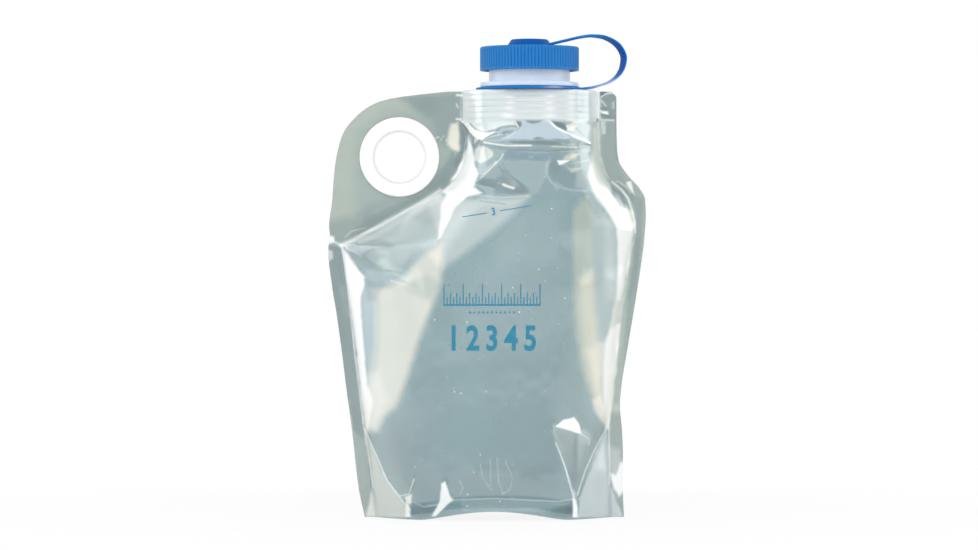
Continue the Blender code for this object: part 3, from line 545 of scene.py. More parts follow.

# The film's painted highlights and reflections, which whiten it, and its painted shade, which darkens it, in
# order: outline in photo pixels, softness of its edge in pixels, strength (negative for painted shade), tint
# (1 for cream, -1 for blue)
FRONT_PAINTED_PATCHES = (
    # Handle web
    (((335, 110), (356, 98), (430, 92), (425, 108), (385, 112), (360, 130), (354, 170), (356, 212),
      (372, 226), (345, 240), (325, 240), (328, 180)), 9.0, 0.12, 0.8),
    (((326, 222), (345, 218), (372, 214), (372, 226), (342, 244), (325, 242)), 7.0, -0.26, 0),
    (((366, 204), (392, 196), (402, 200), (386, 214), (370, 222), (358, 214)), 6.0, -0.16, 0),
    (((362, 224), (395, 206), (425, 190), (445, 165), (453, 150), (459, 162), (449, 184), (408, 208),
      (370, 231), (346, 243)), 5.0, -0.42, 0),
    (((400, 98), (462, 92), (462, 122), (446, 146), (437, 140), (430, 118), (412, 106)), 7.0, -0.30, 0),
    (((404, 97), (432, 95), (434, 112), (428, 118), (414, 108)), 6.0, -0.18, 0),
    (((459, 122), (468, 124), (469, 133), (467, 145), (462, 158), (455, 174), (455, 160),
      (460, 150)), 1.4, -0.55, 0),
    (((450.5, 124), (458.5, 122.5), (459.5, 138), (460, 151), (453, 150), (446.5, 144)), 2.2, 0.76, 0.5),
    # Side seals
    (((328, 237), (331, 235), (334, 237), (334, 242), (329, 244)), 1.6, 0.95, 0),
    (((330, 246), (341, 247), (349, 300), (355, 346), (360, 394), (364, 425), (364, 440), (354, 430),
      (344, 380), (334, 310), (329, 262)), 1.4, -0.42, 0),
    (((327, 250), (332.5, 251), (333, 258), (329, 262)), 1.6, 0.60, 0),
    (((338, 285), (346, 285), (348, 300), (352, 318), (346, 320), (341, 300)), 3.0, 0.12, 0),
    (((352, 440), (362, 440), (366, 490), (358, 490)), 3.0, 0.04, 0.8),
    (((350, 404), (364, 404), (372, 500), (362, 517), (356, 470)), 3.0, -0.16, 0),
    (((594, 90), (600, 90), (600, 119), (594, 119)), 0.9, 0.70, -0.1),
    (((602, 92), (616, 95), (616, 119), (602, 119)), 1.5, -0.45, -0.5),
    (((600, 90), (607, 91), (604, 96), (600, 97)), 1.0, -0.95, -1),
    (((600, 110.5), (608, 111.5), (608.5, 115), (602, 113.5)), 0.8, 0.95, 0),
    (((611, 102), (615, 102), (615, 109), (612, 109)), 1.5, 0.40, 0),
    (((601.5, 121.5), (605.5, 121.5), (605, 134), (602, 134)), 1.2, 0.60, -0.4),
    (((604, 123), (616, 122), (617, 160), (624, 178), (632, 184), (618, 184), (607, 176),
      (601, 160)), 3.0, -0.18, -0.5),
    (((634, 195), (644, 200), (641, 240), (634, 290), (628, 300), (634, 262), (636, 228)), 2.0, -0.20, 0),
    (((642, 236), (636, 300), (626, 360), (619, 404), (612, 404), (620, 350), (629, 296),
      (635, 240)), 3.0, -0.20, 0.3),
    (((612, 380), (620, 340), (626, 300), (624, 412), (610, 412)), 3.0, 0.15, 0.5),
    (((608, 415), (624, 415), (624, 517), (610, 517)), 4.0, -0.22, -0.5),
    (((609, 446), (620, 450), (624, 470), (623, 490), (618, 497), (611, 482)), 4.0, 0.32, -0.1),
    (((610, 473), (616, 475), (620, 463), (625, 460), (625, 488), (619, 497), (614, 489)), 1.8, 0.90, 0),
    # Broad painted light and shade over the chamber
    (((380, 430), (410, 400), (424, 350), (450, 380), (440, 500), (405, 500)), 16.0, -0.20, -0.5),
    (((470, 260), (560, 240), (570, 330), (540, 350), (450, 350)), 24.0, 0.10, -0.2),
    (((505, 212), (560, 200), (560, 262), (500, 262), (490, 240)), 12.0, 0.09, 0),
    (((440, 468), (550, 466), (556, 498), (440, 496)), 8.0, -0.26, 0),
    (((384, 436), (404, 432), (428, 470), (436, 498), (414, 500), (404, 496), (390, 470)), 8.0, -0.20, -0.4),
    (((545, 200), (573, 200), (570, 260), (540, 330), (500, 330), (520, 240)), 12.0, -0.06, 0),
    (((490, 350), (570, 350), (590, 420), (560, 480), (490, 470)), 22.0, -0.14, 0),
    # Painted light on the flat facet of the upper body
    (((344, 246), (362, 238), (408, 211), (440, 194), (470, 199), (529, 197), (511, 216), (492, 233),
      (463, 255), (443, 268), (420, 250), (400, 268), (388, 272), (366, 252)), 6.0, 0.38, 0.05),
    (((440, 200), (470, 198), (480, 200), (462, 222), (448, 250), (438, 262)), 8.0, 0.26, 0),
    (((478, 195), (529, 195), (524, 202), (500, 207), (482, 204)), 2.5, 0.08, 0.2),
    # Left side of the chamber, a painted reflection of the soft box: bright strip, bluish strip, broad soft
    # patch
    (((342.5, 247), (347, 252), (354, 262), (358, 270), (364, 277), (364.5, 285), (361, 296), (361, 310),
      (364, 345), (367, 385), (373, 400), (368, 431), (365, 426), (360.5, 394), (355.5, 346), (351, 312),
      (347, 285)), 2.0, 1.0, 0),
    (((361, 284), (378, 288), (378, 345), (374, 375), (369, 398), (364, 345), (361, 310)), 4.0, 0.34, -0.25),
    (((373, 290), (391, 284), (402, 280), (419.7, 256), (441.6, 244), (443, 266), (439, 291), (426.5, 321),
      (418, 344), (407, 380), (396, 408), (384, 417), (377, 431), (366, 431), (365, 403), (371.6, 380),
      (376.4, 348), (377, 307)), 6.0, 0.62, 0.45),
    (((403, 284), (428, 274), (442, 286), (430, 300), (414, 297)), 5.0, -0.12, 0),
    (((364, 375), (378, 372), (388, 400), (378, 430), (365, 430)), 6.0, 0.35, 0.1),
    (((345, 249), (362, 253), (380, 268), (387, 287), (368, 288), (364, 276), (352, 264)), 2.5, -0.14, 0),
    # Painted highlight and shade along the handle's weld
    (((346, 245), (362, 238), (384, 225.5), (408, 210), (438, 191), (442, 196), (428, 207), (408, 219),
      (384, 233), (360, 245)), 4.0, 0.30, 0),
    (((350, 247), (370, 246), (384, 256), (374, 264), (360, 258), (352, 252)), 4.0, -0.34, -0.3),
    (((346, 247), (354, 244), (364, 241.5), (384, 241), (392, 246), (384, 250), (364, 250),
      (352, 250)), 4.0, -0.36, 0),
    (((343.5, 246.5), (350, 243.8), (358, 243), (359, 248), (352, 249.5)), 1.4, -0.50, 0),
    (((345, 249), (352, 248), (362, 250), (364, 256), (356, 262), (350, 256)), 2.5, -0.25, -0.3),
    (((388, 246), (418, 246), (414, 264), (392, 268), (386, 258)), 6.0, -0.22, 0),
    (((364, 268), (384, 270), (402, 270), (406, 280), (390, 284), (376, 284), (364, 278)), 4.0, 0.26, -0.2),
    (((366, 286), (380, 288), (378, 302), (367, 300)), 4.0, -0.22, 0),
    (((412, 216), (430, 202), (440, 200), (438, 220), (424, 226)), 6.0, -0.16, -0.5),
    # Painted highlight on the streak down the left shoulder, and its tip
    (((468, 134), (472, 146), (474, 156), (475, 166), (478, 174), (475, 183), (474, 187), (482, 193),
      (470, 196), (458, 200), (452, 196), (441, 192), (449, 184), (456, 172), (463, 158),
      (467, 146)), 1.6, 1.0, 0),
    (((449, 187), (441, 206), (439.5, 225), (437.4, 240), (441, 237), (449, 221), (456, 207),
      (468, 196)), 1.6, 0.9, 0),
    (((440, 194), (428, 203), (432, 218), (439, 228), (446, 205)), 5.0, 0.30, 0.1),
    # Under the fitment, left of the middle, painted light and shade: pale plane, white fold, eye, hook
    (((467, 121), (513, 121), (516, 125), (505, 126), (497, 128), (487, 132.5), (478, 132),
      (471, 126)), 1.2, 0.62, 0),
    (((461, 121), (467, 121), (471, 126), (479, 132), (488, 133), (497, 131), (489, 135), (482, 140),
      (477, 140), (470, 133)), 0.9, 1.0, 0.1),
    (((481, 141), (490, 136.5), (499, 133.5), (499, 136), (490, 138.5)), 0.7, 0.55, 0),
    (((496, 131), (502, 127.5), (512, 126), (519.5, 127), (514, 133), (506, 135.5),
      (498, 136)), 0.8, 0.30, -0.2),
    (((501, 132.5), (506, 130.5), (514, 130.5), (511, 133.5), (504, 134.5)), 0.8, -0.60, 0),
    (((516, 121), (521, 121.5), (521, 126), (519.5, 128), (517, 124)), 0.7, -0.70, 0),
    # Middle plane and the ridge to its right
    (((521, 121), (548, 120.5), (556, 127.5), (566, 133), (571, 138.5), (550, 139.5), (530, 139.5),
      (498, 139.5), (508, 135.5), (519, 129), (521.5, 124)), 0.9, 0.55, -0.35),
    (((524, 119.5), (545, 119.5), (540, 122), (532, 123), (527, 122)), 0.8, -0.95, 0),
    (((533, 138.5), (538, 136.8), (544, 138.3), (543, 139.5), (536, 139.8)), 1.0, -0.50, 0),
    (((566, 122), (592, 121), (592, 143), (584, 139), (574, 134), (566, 130)), 1.2, 0.30, 0.25),
    (((551, 121), (560, 122), (566, 126), (567, 130.5), (560, 128), (553, 123.5)), 0.7, -1.0, 0),
    (((566, 126), (572, 124), (576.5, 126), (574, 130), (567, 130)), 1.6, 0.50, 0.8),
    (((592.5, 121), (597, 122), (596, 129), (593, 127)), 0.9, -0.60, 0),
    (((571, 135), (584, 139.5), (590, 142.5), (591, 143.5), (575, 142.5), (560, 139.5)), 0.9, 0.12, -0.3),
    # Grooves across the chest
    (((507, 141.5), (520, 140.5), (545, 140), (560, 142), (562, 145), (545, 144.5), (530, 143.5),
      (512, 143)), 0.8, -0.70, 0),
    (((496, 147), (520, 146.5), (553, 148), (578, 148.5), (576, 151), (553, 151), (520, 150.5),
      (500, 150.5)), 0.9, -0.50, -0.5),
    (((500, 151), (530, 152.5), (560, 153), (556, 159), (545, 161.5), (520, 160.5),
      (504, 157)), 1.6, 0.20, -1),
    (((500, 151), (530, 154), (560, 154), (556, 159), (545, 161), (520, 160), (504, 157)), 1.6, -0.30, 0),
    (((528, 155), (534, 155), (534, 158.5), (528, 158.5)), 1.2, 0.14, -0.3),
    # Knot, pale patch, hollow with three corners, plateau
    (((471, 134), (476, 140), (480, 140.5), (475, 147.5), (472.5, 146)), 0.8, -0.45, 0),
    (((474, 138), (479, 140), (474, 145)), 0.6, 0.65, 0),
    (((475, 149), (482, 145), (489, 148), (493.5, 152), (493, 157), (487, 161), (480, 163.5),
      (474, 160)), 1.4, 0.50, 0.35),
    (((480, 165), (487, 162), (494, 158.5), (497.5, 160), (488, 170), (481, 177.5),
      (479, 173)), 1.4, -0.20, -0.6),
    (((503, 160), (549, 161), (546, 175), (544, 182), (540, 190), (536, 194), (531, 194.5), (529, 188),
      (520, 182), (512, 176), (505, 168)), 1.6, 0.14, 0.3),
    (((482, 178), (498, 163), (503, 168), (512, 177), (522, 184), (527.5, 191), (526, 194), (505, 193),
      (490, 190), (479, 183)), 1.6, -0.42, -0.6),
    (((520, 183.5), (527, 190), (526.5, 194), (508, 193.5), (515, 190)), 1.2, -0.35, 0),
    (((484, 184), (498, 187), (505, 191), (490, 189.5)), 1.0, 0.16, 0),
    # Round hollow at the right
    (((552, 162), (556, 158), (562, 166), (572, 172), (588, 170), (590, 186), (578, 190), (562, 187),
      (552, 181), (549, 172)), 2.0, -0.26, 0),
    (((551, 163), (555, 160), (561, 167), (559, 172), (551, 171)), 1.6, -0.30, 0),
    (((556.5, 160), (562, 160.5), (570, 160.5), (563, 164), (559.5, 165.5)), 0.8, 1.0, 0),
    (((562, 160), (566, 155), (573, 153), (580, 153.5), (575, 158.5), (568, 161)), 2.0, 0.52, 0.8),
    (((566, 167), (575, 167), (582, 168), (575, 172), (571, 172.5)), 1.8, 0.40, 0.7),
    (((579, 152), (592, 148), (589, 165), (588, 176), (582, 178), (580, 165)), 3.0, 0.14, 0.2),
    # Right side, painted reflections: cream band, then the white ribbon down to the foot
    (((592, 215), (612, 220), (617, 290), (610, 340), (604, 400), (598, 400), (594, 345)), 6.0, 0.20, 0.3),
    (((573, 212), (580, 199), (588, 199), (592, 208), (593, 255), (594, 300), (597, 350), (602, 400),
      (607, 428), (602, 422), (595, 404), (587, 388), (580, 364), (576, 335), (574, 300),
      (573, 250)), 4.5, 0.28, 1.0),
    (((579, 280), (592, 270), (596, 310), (600, 350), (604, 400), (607, 426), (598, 404), (589, 380),
      (582, 340)), 7.0, 0.34, 0.9),
    (((586, 350), (600, 345), (605, 400), (608, 428), (598, 404)), 6.0, 0.34, 0.5),
    (((597, 342), (604, 342), (605, 376), (598, 376)), 3.0, 0.28, 0.7),
    (((592, 400), (600, 396), (606, 408), (607, 427), (600, 419), (594, 411)), 2.5, 0.55, 0.4),
    (((592, 150), (590, 165), (588, 175), (592, 190), (597, 200), (603, 206), (612, 216), (617, 225),
      (618, 250), (617, 290), (611, 320), (606, 345), (603, 380), (604, 412), (608, 429), (612, 394),
      (617, 358), (622, 310), (630, 262), (635, 228), (632, 210), (622, 203), (613, 193), (608, 179),
      (603, 167), (600, 155), (599, 123), (592, 123)), 2.4, 0.62, 0.35),
    (((617, 226), (634, 222), (629, 262), (621, 300), (617, 300), (618, 262)), 1.6, 0.60, 0.1),
    (((600, 190), (612, 196), (620, 207), (633, 212), (635, 226), (617, 226), (604, 206)), 3.0, 0.62, 0.15),
    (((603, 345), (611, 328), (619, 325), (613, 392), (608, 426), (604, 400)), 3.0, 0.66, 0.1),
    (((604, 215), (618, 222), (618, 300), (606, 300)), 5.0, 0.20, 0.1),
    (((609, 180), (617, 187), (624, 197), (624.5, 208), (619, 205), (613, 194)), 1.2, -0.55, 0),
    (((617, 182), (627, 187), (633, 195), (634, 205), (628, 196), (620, 188)), 1.0, -0.35, 0),
    (((626, 182), (631, 181), (633, 186), (634, 195), (631, 190), (628, 186)), 0.9, 0.85, 0.1),
    # Foot
    (((556, 432), (582, 434), (602, 432), (585, 470), (574, 497), (565, 465)), 4.0, -0.40, 0),
    (((555.3, 426.6), (562.7, 420), (574.7, 416.5), (579.3, 424.8), (582, 435), (572, 431)), 0.9, 1.0, 0),
    (((364, 428), (387, 480), (403.6, 502), (411, 517), (366, 517), (372, 487)), 1.6, 0.60, 0.30),
    (((607, 427), (609.5, 454), (610, 484), (623, 517), (577.5, 517), (579, 499),
      (598, 447)), 1.6, 0.50, -0.1),
    (((606, 432), (609.5, 454), (609, 470), (598, 470), (596, 452)), 4.0, 0.28, -0.1),
    (((405.5, 496), (412, 494), (411, 517), (405.5, 517)), 1.2, 0.80, 0.1),
    (((441, 484), (446, 481), (450, 496), (453, 500), (444, 508), (436, 516), (432, 516),
      (440, 500)), 1.2, 0.90, 0),
    (((573, 500), (576.5, 500), (578, 517), (573, 517)), 0.9, 0.95, 0),
    (((462, 500), (500, 499), (560, 502), (570, 503), (540, 512), (462, 512)), 2.0, 0.12, 0),
    (((409, 504), (436, 507), (428, 517), (411, 517)), 1.4, -0.45, 0),
    (((546, 513), (572, 503), (572, 517), (560, 517)), 1.4, -0.50, 0),
)
# Lines of painted highlight along ridges and seams, and of painted shade in creases: points in photo pixels,
# half width in pixels, strength, tint
FRONT_PAINTED_LINES = (
    (((461.5, 92), (461, 104), (461.5, 120)), 0.7, 0.40, 0),
    (((457, 95), (462, 95.5)), 1.2, 0.90, 0),
    (((456.5, 104), (458, 108)), 0.8, 0.75, 0),
    (((456.5, 119), (461, 119.5)), 1.0, 0.90, 0),
    (((436, 138), (439, 137)), 0.8, 0.55, 0.5),
    (((441, 140), (444, 135)), 0.7, 0.50, 0.5),
    (((446, 141), (448, 137)), 0.7, 0.50, 0.5),
    (((601.5, 96.5), (606, 93.8), (613, 92.5)), 0.9, 0.75, 0),
    (((602, 101), (606, 106)), 0.9, 0.65, 0),
    (((601, 115), (606, 116), (611, 118)), 0.8, -0.70, 0),
    (((601, 108), (607, 109)), 0.9, -0.50, 0),
    (((600, 119.8), (614, 120.2)), 0.8, 0.60, 0),
    (((616.2, 100), (616, 130), (617, 160)), 0.9, -0.40, 0),
    # Folds under the fitment
    (((470, 123), (475, 129), (485, 132.4), (493, 130)), 0.7, -0.40, 0),
    (((496, 131), (502, 127.5), (512, 126), (519, 127)), 0.8, -0.55, 0),
    (((484, 139.6), (492, 137.5), (498, 136), (506, 135.5)), 0.6, -0.40, 0),
    (((513, 120), (516, 123), (518.6, 127)), 0.9, 0.90, 0),
    (((546, 119), (550, 121.4), (556, 127.2), (566, 132.5), (578, 138), (590, 143)), 1.1, 1.0, 0),
    (((573, 136), (586, 141)), 1.3, 0.8, 0),
    (((576, 128), (580, 132), (584, 136)), 0.7, -0.35, 0),
    (((487, 141), (500, 140.4), (540, 139.8), (556, 140.6)), 0.5, 0.30, 0),
    (((484, 142.4), (491, 143.6), (505, 145.5), (531, 145.5)), 0.9, 0.85, 0.1),
    (((504, 141.8), (512, 143)), 0.6, 0.40, -0.3),
    (((552, 146.2), (564, 146.8), (577, 147.5)), 1.0, 0.50, 0.9),
    (((556, 143.5), (575, 144.5)), 0.6, 0.25, 0),
    (((520, 151.5), (548, 153)), 0.7, 0.20, -0.4),
    (((560, 151.5), (590, 150.5)), 0.8, 0.20, 0),
    (((471, 134), (473.4, 146), (475.5, 147), (480.5, 141)), 0.7, -0.45, 0),
    (((481, 142), (482, 148)), 0.8, -0.30, 0),
    # Hollows
    (((480.5, 178), (488, 171), (496, 163)), 1.2, 0.50, 0.8),
    (((496, 163), (501, 158), (503, 154)), 0.9, 0.45, 0.6),
    (((479, 182), (490, 186), (500, 190.5)), 0.8, -0.60, 0),
    (((500, 166), (512, 177), (522, 184), (527.5, 191)), 0.7, -0.25, 0),
    (((498, 183), (505, 184.5)), 1.0, 0.30, 0),
    (((503.5, 184.8), (508, 186.5), (513.5, 188)), 1.5, 0.95, 0.2),
    (((476, 195), (500, 197.5), (528, 196)), 0.9, 0.22, 0),
    (((480, 201), (505, 204)), 0.7, -0.20, 0),
    (((550, 158), (547, 166), (547, 175), (551, 182), (560, 187), (570, 190), (585, 191)), 1.5, 0.20, -0.1),
    (((555, 181), (563, 186)), 0.7, 0.22, 0),
    (((563, 165.5), (575, 163), (590, 160)), 0.8, 0.20, 0.3),
    # Seams and shoulders
    (((341.5, 245.5), (347, 280), (355, 355), (363.4, 424)), 1.0, 0.70, 0),
    (((347, 247), (362, 240), (382, 230.5), (402, 219), (422, 206), (438, 196)), 3.4, 0.12, -0.05),
    (((341.5, 245.5), (360, 236.5), (380, 226), (400, 214.2), (420, 202.8), (432, 195.5),
      (440, 190)), 2.2, 0.95, 0),
    (((345.6, 237), (352, 231), (366, 227.5)), 0.8, 0.35, 0),
    (((331, 240), (341.5, 245.5)), 1.2, 0.60, 0),
    (((391, 281), (407, 285)), 1.0, 0.35, 0),
    (((385, 270), (402, 273)), 1.2, -0.25, 0),
    (((612, 182), (622, 190), (628, 198), (632, 210), (634.5, 222), (635, 232)), 1.0, 0.85, 0.1),
    (((617, 181), (625, 186), (631, 193)), 0.7, 0.45, 0),
    (((617.5, 325), (616, 350), (612, 372), (610, 392), (608.5, 412), (607, 427)), 1.7, 0.85, 0.15),
    # Foot
    (((364, 427), (387, 480), (404, 502.5), (410, 510)), 0.8, 0.75, 0.1),
    (((364.8, 430), (373, 487.7)), 0.8, 0.60, 0.1),
    (((400, 496), (409, 494), (414, 479)), 0.8, 0.60, 0.2),
    (((411, 501), (424, 507), (442, 504), (454, 500), (494, 498.4), (559, 501.5), (575, 499)), 0.7, 0.38, 0),
    (((553.4, 430), (556, 443)), 0.7, 0.30, 0),
    (((556, 443), (564.5, 465.5), (573.8, 499)), 0.8, 0.75, 0),
    (((573.8, 499), (575, 516)), 1.4, 1.00, 0),
    (((582, 435), (589.5, 438.7), (588.6, 445)), 0.9, 0.30, 0.2),
    (((607, 427), (596, 447), (585, 471), (577.5, 495)), 0.9, 0.55, 0),
    (((609, 428), (609.5, 455), (609.5, 484)), 0.8, 0.40, 0.2),
    (((480.5, 465), (483, 478), (492, 491)), 0.7, 0.26, 0),
    (((490.5, 458), (491, 485)), 0.7, 0.26, 0),
    (((497, 457), (498.5, 480), (503, 493)), 0.7, 0.26, 0),
    (((505, 461), (512.5, 477), (510, 490), (502, 494)), 0.7, 0.26, 0),
    (((459, 480), (463.5, 488), (460, 494)), 0.8, 0.26, 0),
)
# Painted highlights where the studio's lamps glint on the weld over the boat, and painted shade that dims the
# lamps' own reflections, in photo pixels:
# centre, half width and half height, then how much whiter, or with a minus how much clearer and darker
BOAT_PAINTED_GLINTS = (
    ((496, 104), (17, 20), -0.22), ((583, 104), (7, 20), -0.60), ((466, 106), (6, 20), 0.80),
    ((510, 97), (4.5, 1.3), 1), ((510.5, 102.5), (4.5, 1.4), 1), ((509.5, 108), (4.5, 2.0), 1),
    ((508.5, 115.5), (7, 2.4), 1), ((550, 96), (5.5, 1.5), 1), ((549, 102.5), (4.5, 1.4), 1),
    ((550, 108.5), (5, 2.0), 1), ((550, 115.5), (7, 2.2), 1), ((595, 104), (4, 16), 1),
)


def line_distance(px, py, start, end):
    """The distance in pixels to the straight line between two points."""
    (ax, ay), (bx, by) = start, end
    run, fall = bx - ax, by - ay
    t = np.clip(((px - ax) * run + (py - ay) * fall) / (run**2 + fall**2), 0, 1)
    return np.hypot(px - ax - t * run, py - ay - t * fall)


def across_patch(px, py, corners, softness):
    """1 inside an outline, 0 outside it, with a soft edge."""
    nearest = np.full(px.shape, np.inf)
    inside = np.zeros(px.shape, bool)
    for start, end in zip(corners, corners[1:] + corners[:1]):
        nearest = np.minimum(nearest, line_distance(px, py, start, end))
        (ax, ay), (bx, by) = start, end
        if ay != by:
            inside ^= ((ay <= py) != (by <= py)) & (px < ax + (py - ay) * (bx - ax) / (by - ay))
    return smoothstep(-softness, softness, np.where(inside, nearest, -nearest))


def along_points(px, py, points, half_width):
    """1 on a line through the points, fading out over its half width."""
    nearest = np.minimum.reduce([line_distance(px, py, start, end) for start, end in zip(points, points[1:])])
    return np.exp(-(nearest / half_width) ** 2)


def sheet_px(front, x, depth, z):
    """A point's place in the crease and tone tables. The back, which the photograph doesn't show, has the
    front's folds the other way round, so that the two sheets don't match."""
    return photo_px(x if front else left_seam(z) + right_seam(z) - x, depth, z)


def sheet_relief(px, py, blur):
    """How far the folds stand off the sheet's smooth form. The back's blur makes all of them lower, and the
    creases wider and rounder."""
    relief = np.zeros_like(px)
    crest = CREASE_CREST * blur**6
    for start, end, height, left_px, right_px in FRONT_CREASES:
        relief += crease(px, py, start, end, height / blur**2, left_px * blur, right_px * blur, crest)
    for centre, radii, turn_degrees, height in FRONT_DENTS:
        relief += dent(px, py, centre, radii, turn_degrees, height / blur**2)
    return relief


def sheet_painted_light(px, py, sway, blur, haze_and_highlight, tint):
    """How far painted highlights and reflections whiten and tint the film, and painted shade darkens it, over
    what its seal already does. The back, which has a blur, has the soft places only."""
    sharp = blur == 1
    layers = [(across_patch(px + sway[0], py + sway[1], corners, softness * blur), strength / blur, light_tone)
              for corners, softness, strength, light_tone in FRONT_PAINTED_PATCHES if sharp or softness > BACK_SOFTEST_PX]
    layers += [(along_points(px, py, points, half_width), strength, light_tone)
               for points, half_width, strength, light_tone in FRONT_PAINTED_LINES if sharp]
    shade = np.zeros_like(px)
    for cover, strength, light_tone in layers:
        share = cover * abs(strength)
        kept = haze_and_highlight * (1 - share)
        added = share if strength > 0 else TINTED_DARK_SHARE * share * abs(light_tone)
        tint = (tint * kept + light_tone * added) / np.maximum(kept + added, LEAST_HAZE)
        haze_and_highlight = kept + added
        shade = shade * (1 - share) if strength > 0 else shade + (1 - shade) * share
    return haze_and_highlight, tint, shade


def boat_haze_and_painted_glints(px, py):
    """The milky weld over the fitment's ribs, with painted highlights where the studio's lamps glint on it,
    and painted shade over some of their real reflections.
    """
    haze_and_highlight = BOAT_HAZE - BOAT_BAND * np.cos(2 * np.pi * py / BOAT_BAND_PX)
    for centre, radii, strength in BOAT_PAINTED_GLINTS:
        room = 1 - haze_and_highlight if strength > 0 else haze_and_highlight
        haze_and_highlight = haze_and_highlight + room * dent(px, py, centre, radii, 0, strength)
    return haze_and_highlight


def bottom_arch(share):
    """How high the film's lower edge stands off the floor: flat feet at the corners, a low arch between."""
    return (1 - np.clip(np.abs(share) / FOOT_SHARE, 0, 1) ** 2) ** 1.5 * BASE_ARCH


def eased_lens(share, x, z):
    """The chamber's profile, eased up and down away from the seams, so that their corners make no crease."""
    eased = np.zeros_like(x)
    for drop in np.linspace(-SEAM_EASE, SEAM_EASE, SEAM_EASE_STEPS):
        left, right = left_seam(z + drop), right_seam(z + drop)
        eased += lens(np.clip((2 * x - left - right) / (right - left), -1, 1)) / SEAM_EASE_STEPS
    inner = smoothstep(*SEAM_EASE_SHARES, np.abs(share))
    return lens(share) * (1 - inner) + eased * inner


def chamber_crown(share, x, z):
    """The sheet's distance from the seams' plane, before any creases, and how far it lies on the fitment."""
    on_boat = smoothstep(BOAT_BOTTOM - BOAT_LEAD, BOAT_BOTTOM, z)
    boat_share = np.clip((x - NECK_X) / BOAT_HALF_LENGTH, -1, 1)
    boat_crown = BOAT_HALF_DEPTH * lens(boat_share) - FILM_RIB_SHARE * rib_inset(np.maximum(z, BOAT_BOTTOM))
    crown = half_depth(z) * eased_lens(share, x, z) * (1 - on_boat) + np.maximum(boat_crown, 0) * on_boat
    inside = smoothstep(*BASE_SEAM_FADE_SHARES, np.abs(share)) * (1 - on_boat)
    above = np.clip(z - base_seam(share), 0, None)
    return crown - BASE_SEAM_STEP * np.exp(-above / BASE_SEAM_FADE) * inside, on_boat


def row_heights(coarseness):
    """Heights of the sheet's rows, closer together where it is creased."""
    places, steps = np.array(ROW_STEP_SHARES).T
    fine = np.linspace(0, 1, ROW_SAMPLES)
    density = FILM_HEIGHT / np.interp(fine, places, steps) / coarseness
    count = np.concatenate([[0], np.cumsum((density[1:] + density[:-1]) / 2 * np.diff(fine))])
    return FILM_HEIGHT * np.interp(np.linspace(0, count[-1], int(count[-1]) + 1), count, fine)


def sheet_rows(front):
    """The sheet's points as arrays (rows, columns) of x, depth and z, with each place across the chamber."""
    coarseness = 1 if front else BACK_COARSENESS
    heights = row_heights(coarseness)
    web_columns, chamber_columns, band_columns = (
        int(columns / coarseness) for columns in (WEB_COLUMNS, CHAMBER_COLUMNS, BAND_COLUMNS)
    )
    even = np.linspace(-1, 1, chamber_columns + 1)
    shares = (1 + CHAMBER_SPREAD) * even - CHAMBER_SPREAD * even**3
    lines = []
    for height in heights:
        seam_left, seam_right = left_seam(height), right_seam(height)
        web = np.linspace(left_edge(height), seam_left, web_columns + 1)[:-1]
        chamber = (seam_left + seam_right) / 2 + shares * (seam_right - seam_left) / 2
        band = np.linspace(seam_right, right_edge(height), band_columns + 1)[1:]
        lines.append(np.concatenate([web, chamber, band]))
    x = np.array(lines)
    z = np.repeat(heights[:, None], x.shape[1], axis=1)
    share = np.zeros_like(x) + np.concatenate([np.full(web_columns, -1), shares, np.full(band_columns, 1)])

    z = np.where(z < ARCH_REACH, bottom_arch(share) * (1 - z / ARCH_REACH) + z, z)
    crown, on_boat = chamber_crown(share, x, z)
    free = smoothstep(*RELIEF_FADE_SHARES, np.abs(share)) * (1 - on_boat)
    crown = crown + sheet_relief(*sheet_px(front, x, crown, z), 1 if front else BACK_BLUR) * free
    first_seed = FRONT_SEED if front else BACK_SEED
    for height, span, squeeze, seed in FILM_WAVES:
        crown = crown + height * fine_noise(x * squeeze, z, span, first_seed + seed) * free
    return x, WELD_HALF_THICKNESS + np.maximum(crown, 0), z, share, on_boat


def add_object(name, data):
    thing = bpy.data.objects.new(name, data)
    bpy.context.scene.collection.objects.link(thing)
    return thing


def grid_object(name, x, y, z, tones, keep=None):
    """A sheet through a grid of points, as quads, with the film's values; keep says which quads stay."""
    rows, columns = x.shape
    index = np.arange(rows * columns).reshape(rows, columns)
    quads = np.stack([index[:-1, :-1], index[:-1, 1:], index[1:, 1:], index[1:, :-1]], axis=-1).reshape(-1, 4)
    if keep is not None:
        quads = quads[keep.ravel()]
    used, places = np.unique(quads, return_inverse=True)
    points = np.stack([x.ravel(), y.ravel(), z.ravel()], axis=-1)[used]
    mesh = bpy.data.meshes.new(name)
    mesh.from_pydata(points.tolist(), [], places.reshape(-1, 4).tolist())
    for label, values in zip(FILM_VALUES, tones):
        layer = mesh.attributes.new(label, "FLOAT", "POINT")
        layer.data.foreach_set("value", np.broadcast_to(values, x.shape).ravel()[used].astype(np.float32))
    mesh.shade_smooth()
    return add_object(name, mesh)


def dress(piece, material, slot, body, *nodes):
    """Gives a piece its finish and its body, and hides the solids it stands for."""
    piece.data.materials.append(material)
    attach(piece, body)
    if nodes:
        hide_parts(*nodes)


def fold_flat(piece):
    """Gives a piece of film a mesh of its own."""
    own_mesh(piece)


def set_inputs(tree, node, inputs):
    """Sets a node's input sockets, each to a value or to a link from another node's output."""
    for key, value in inputs.items():
        if isinstance(value, bpy.types.NodeSocket):
            tree.links.new(value, node.inputs[key])
        else:
            node.inputs[key].default_value = value


def add_node(tree, kind, inputs=None, **settings):
    node = tree.nodes.new("ShaderNode" + kind)
    for key, value in settings.items():
        setattr(node, key, value)
    set_inputs(tree, node, inputs or {})
    return node


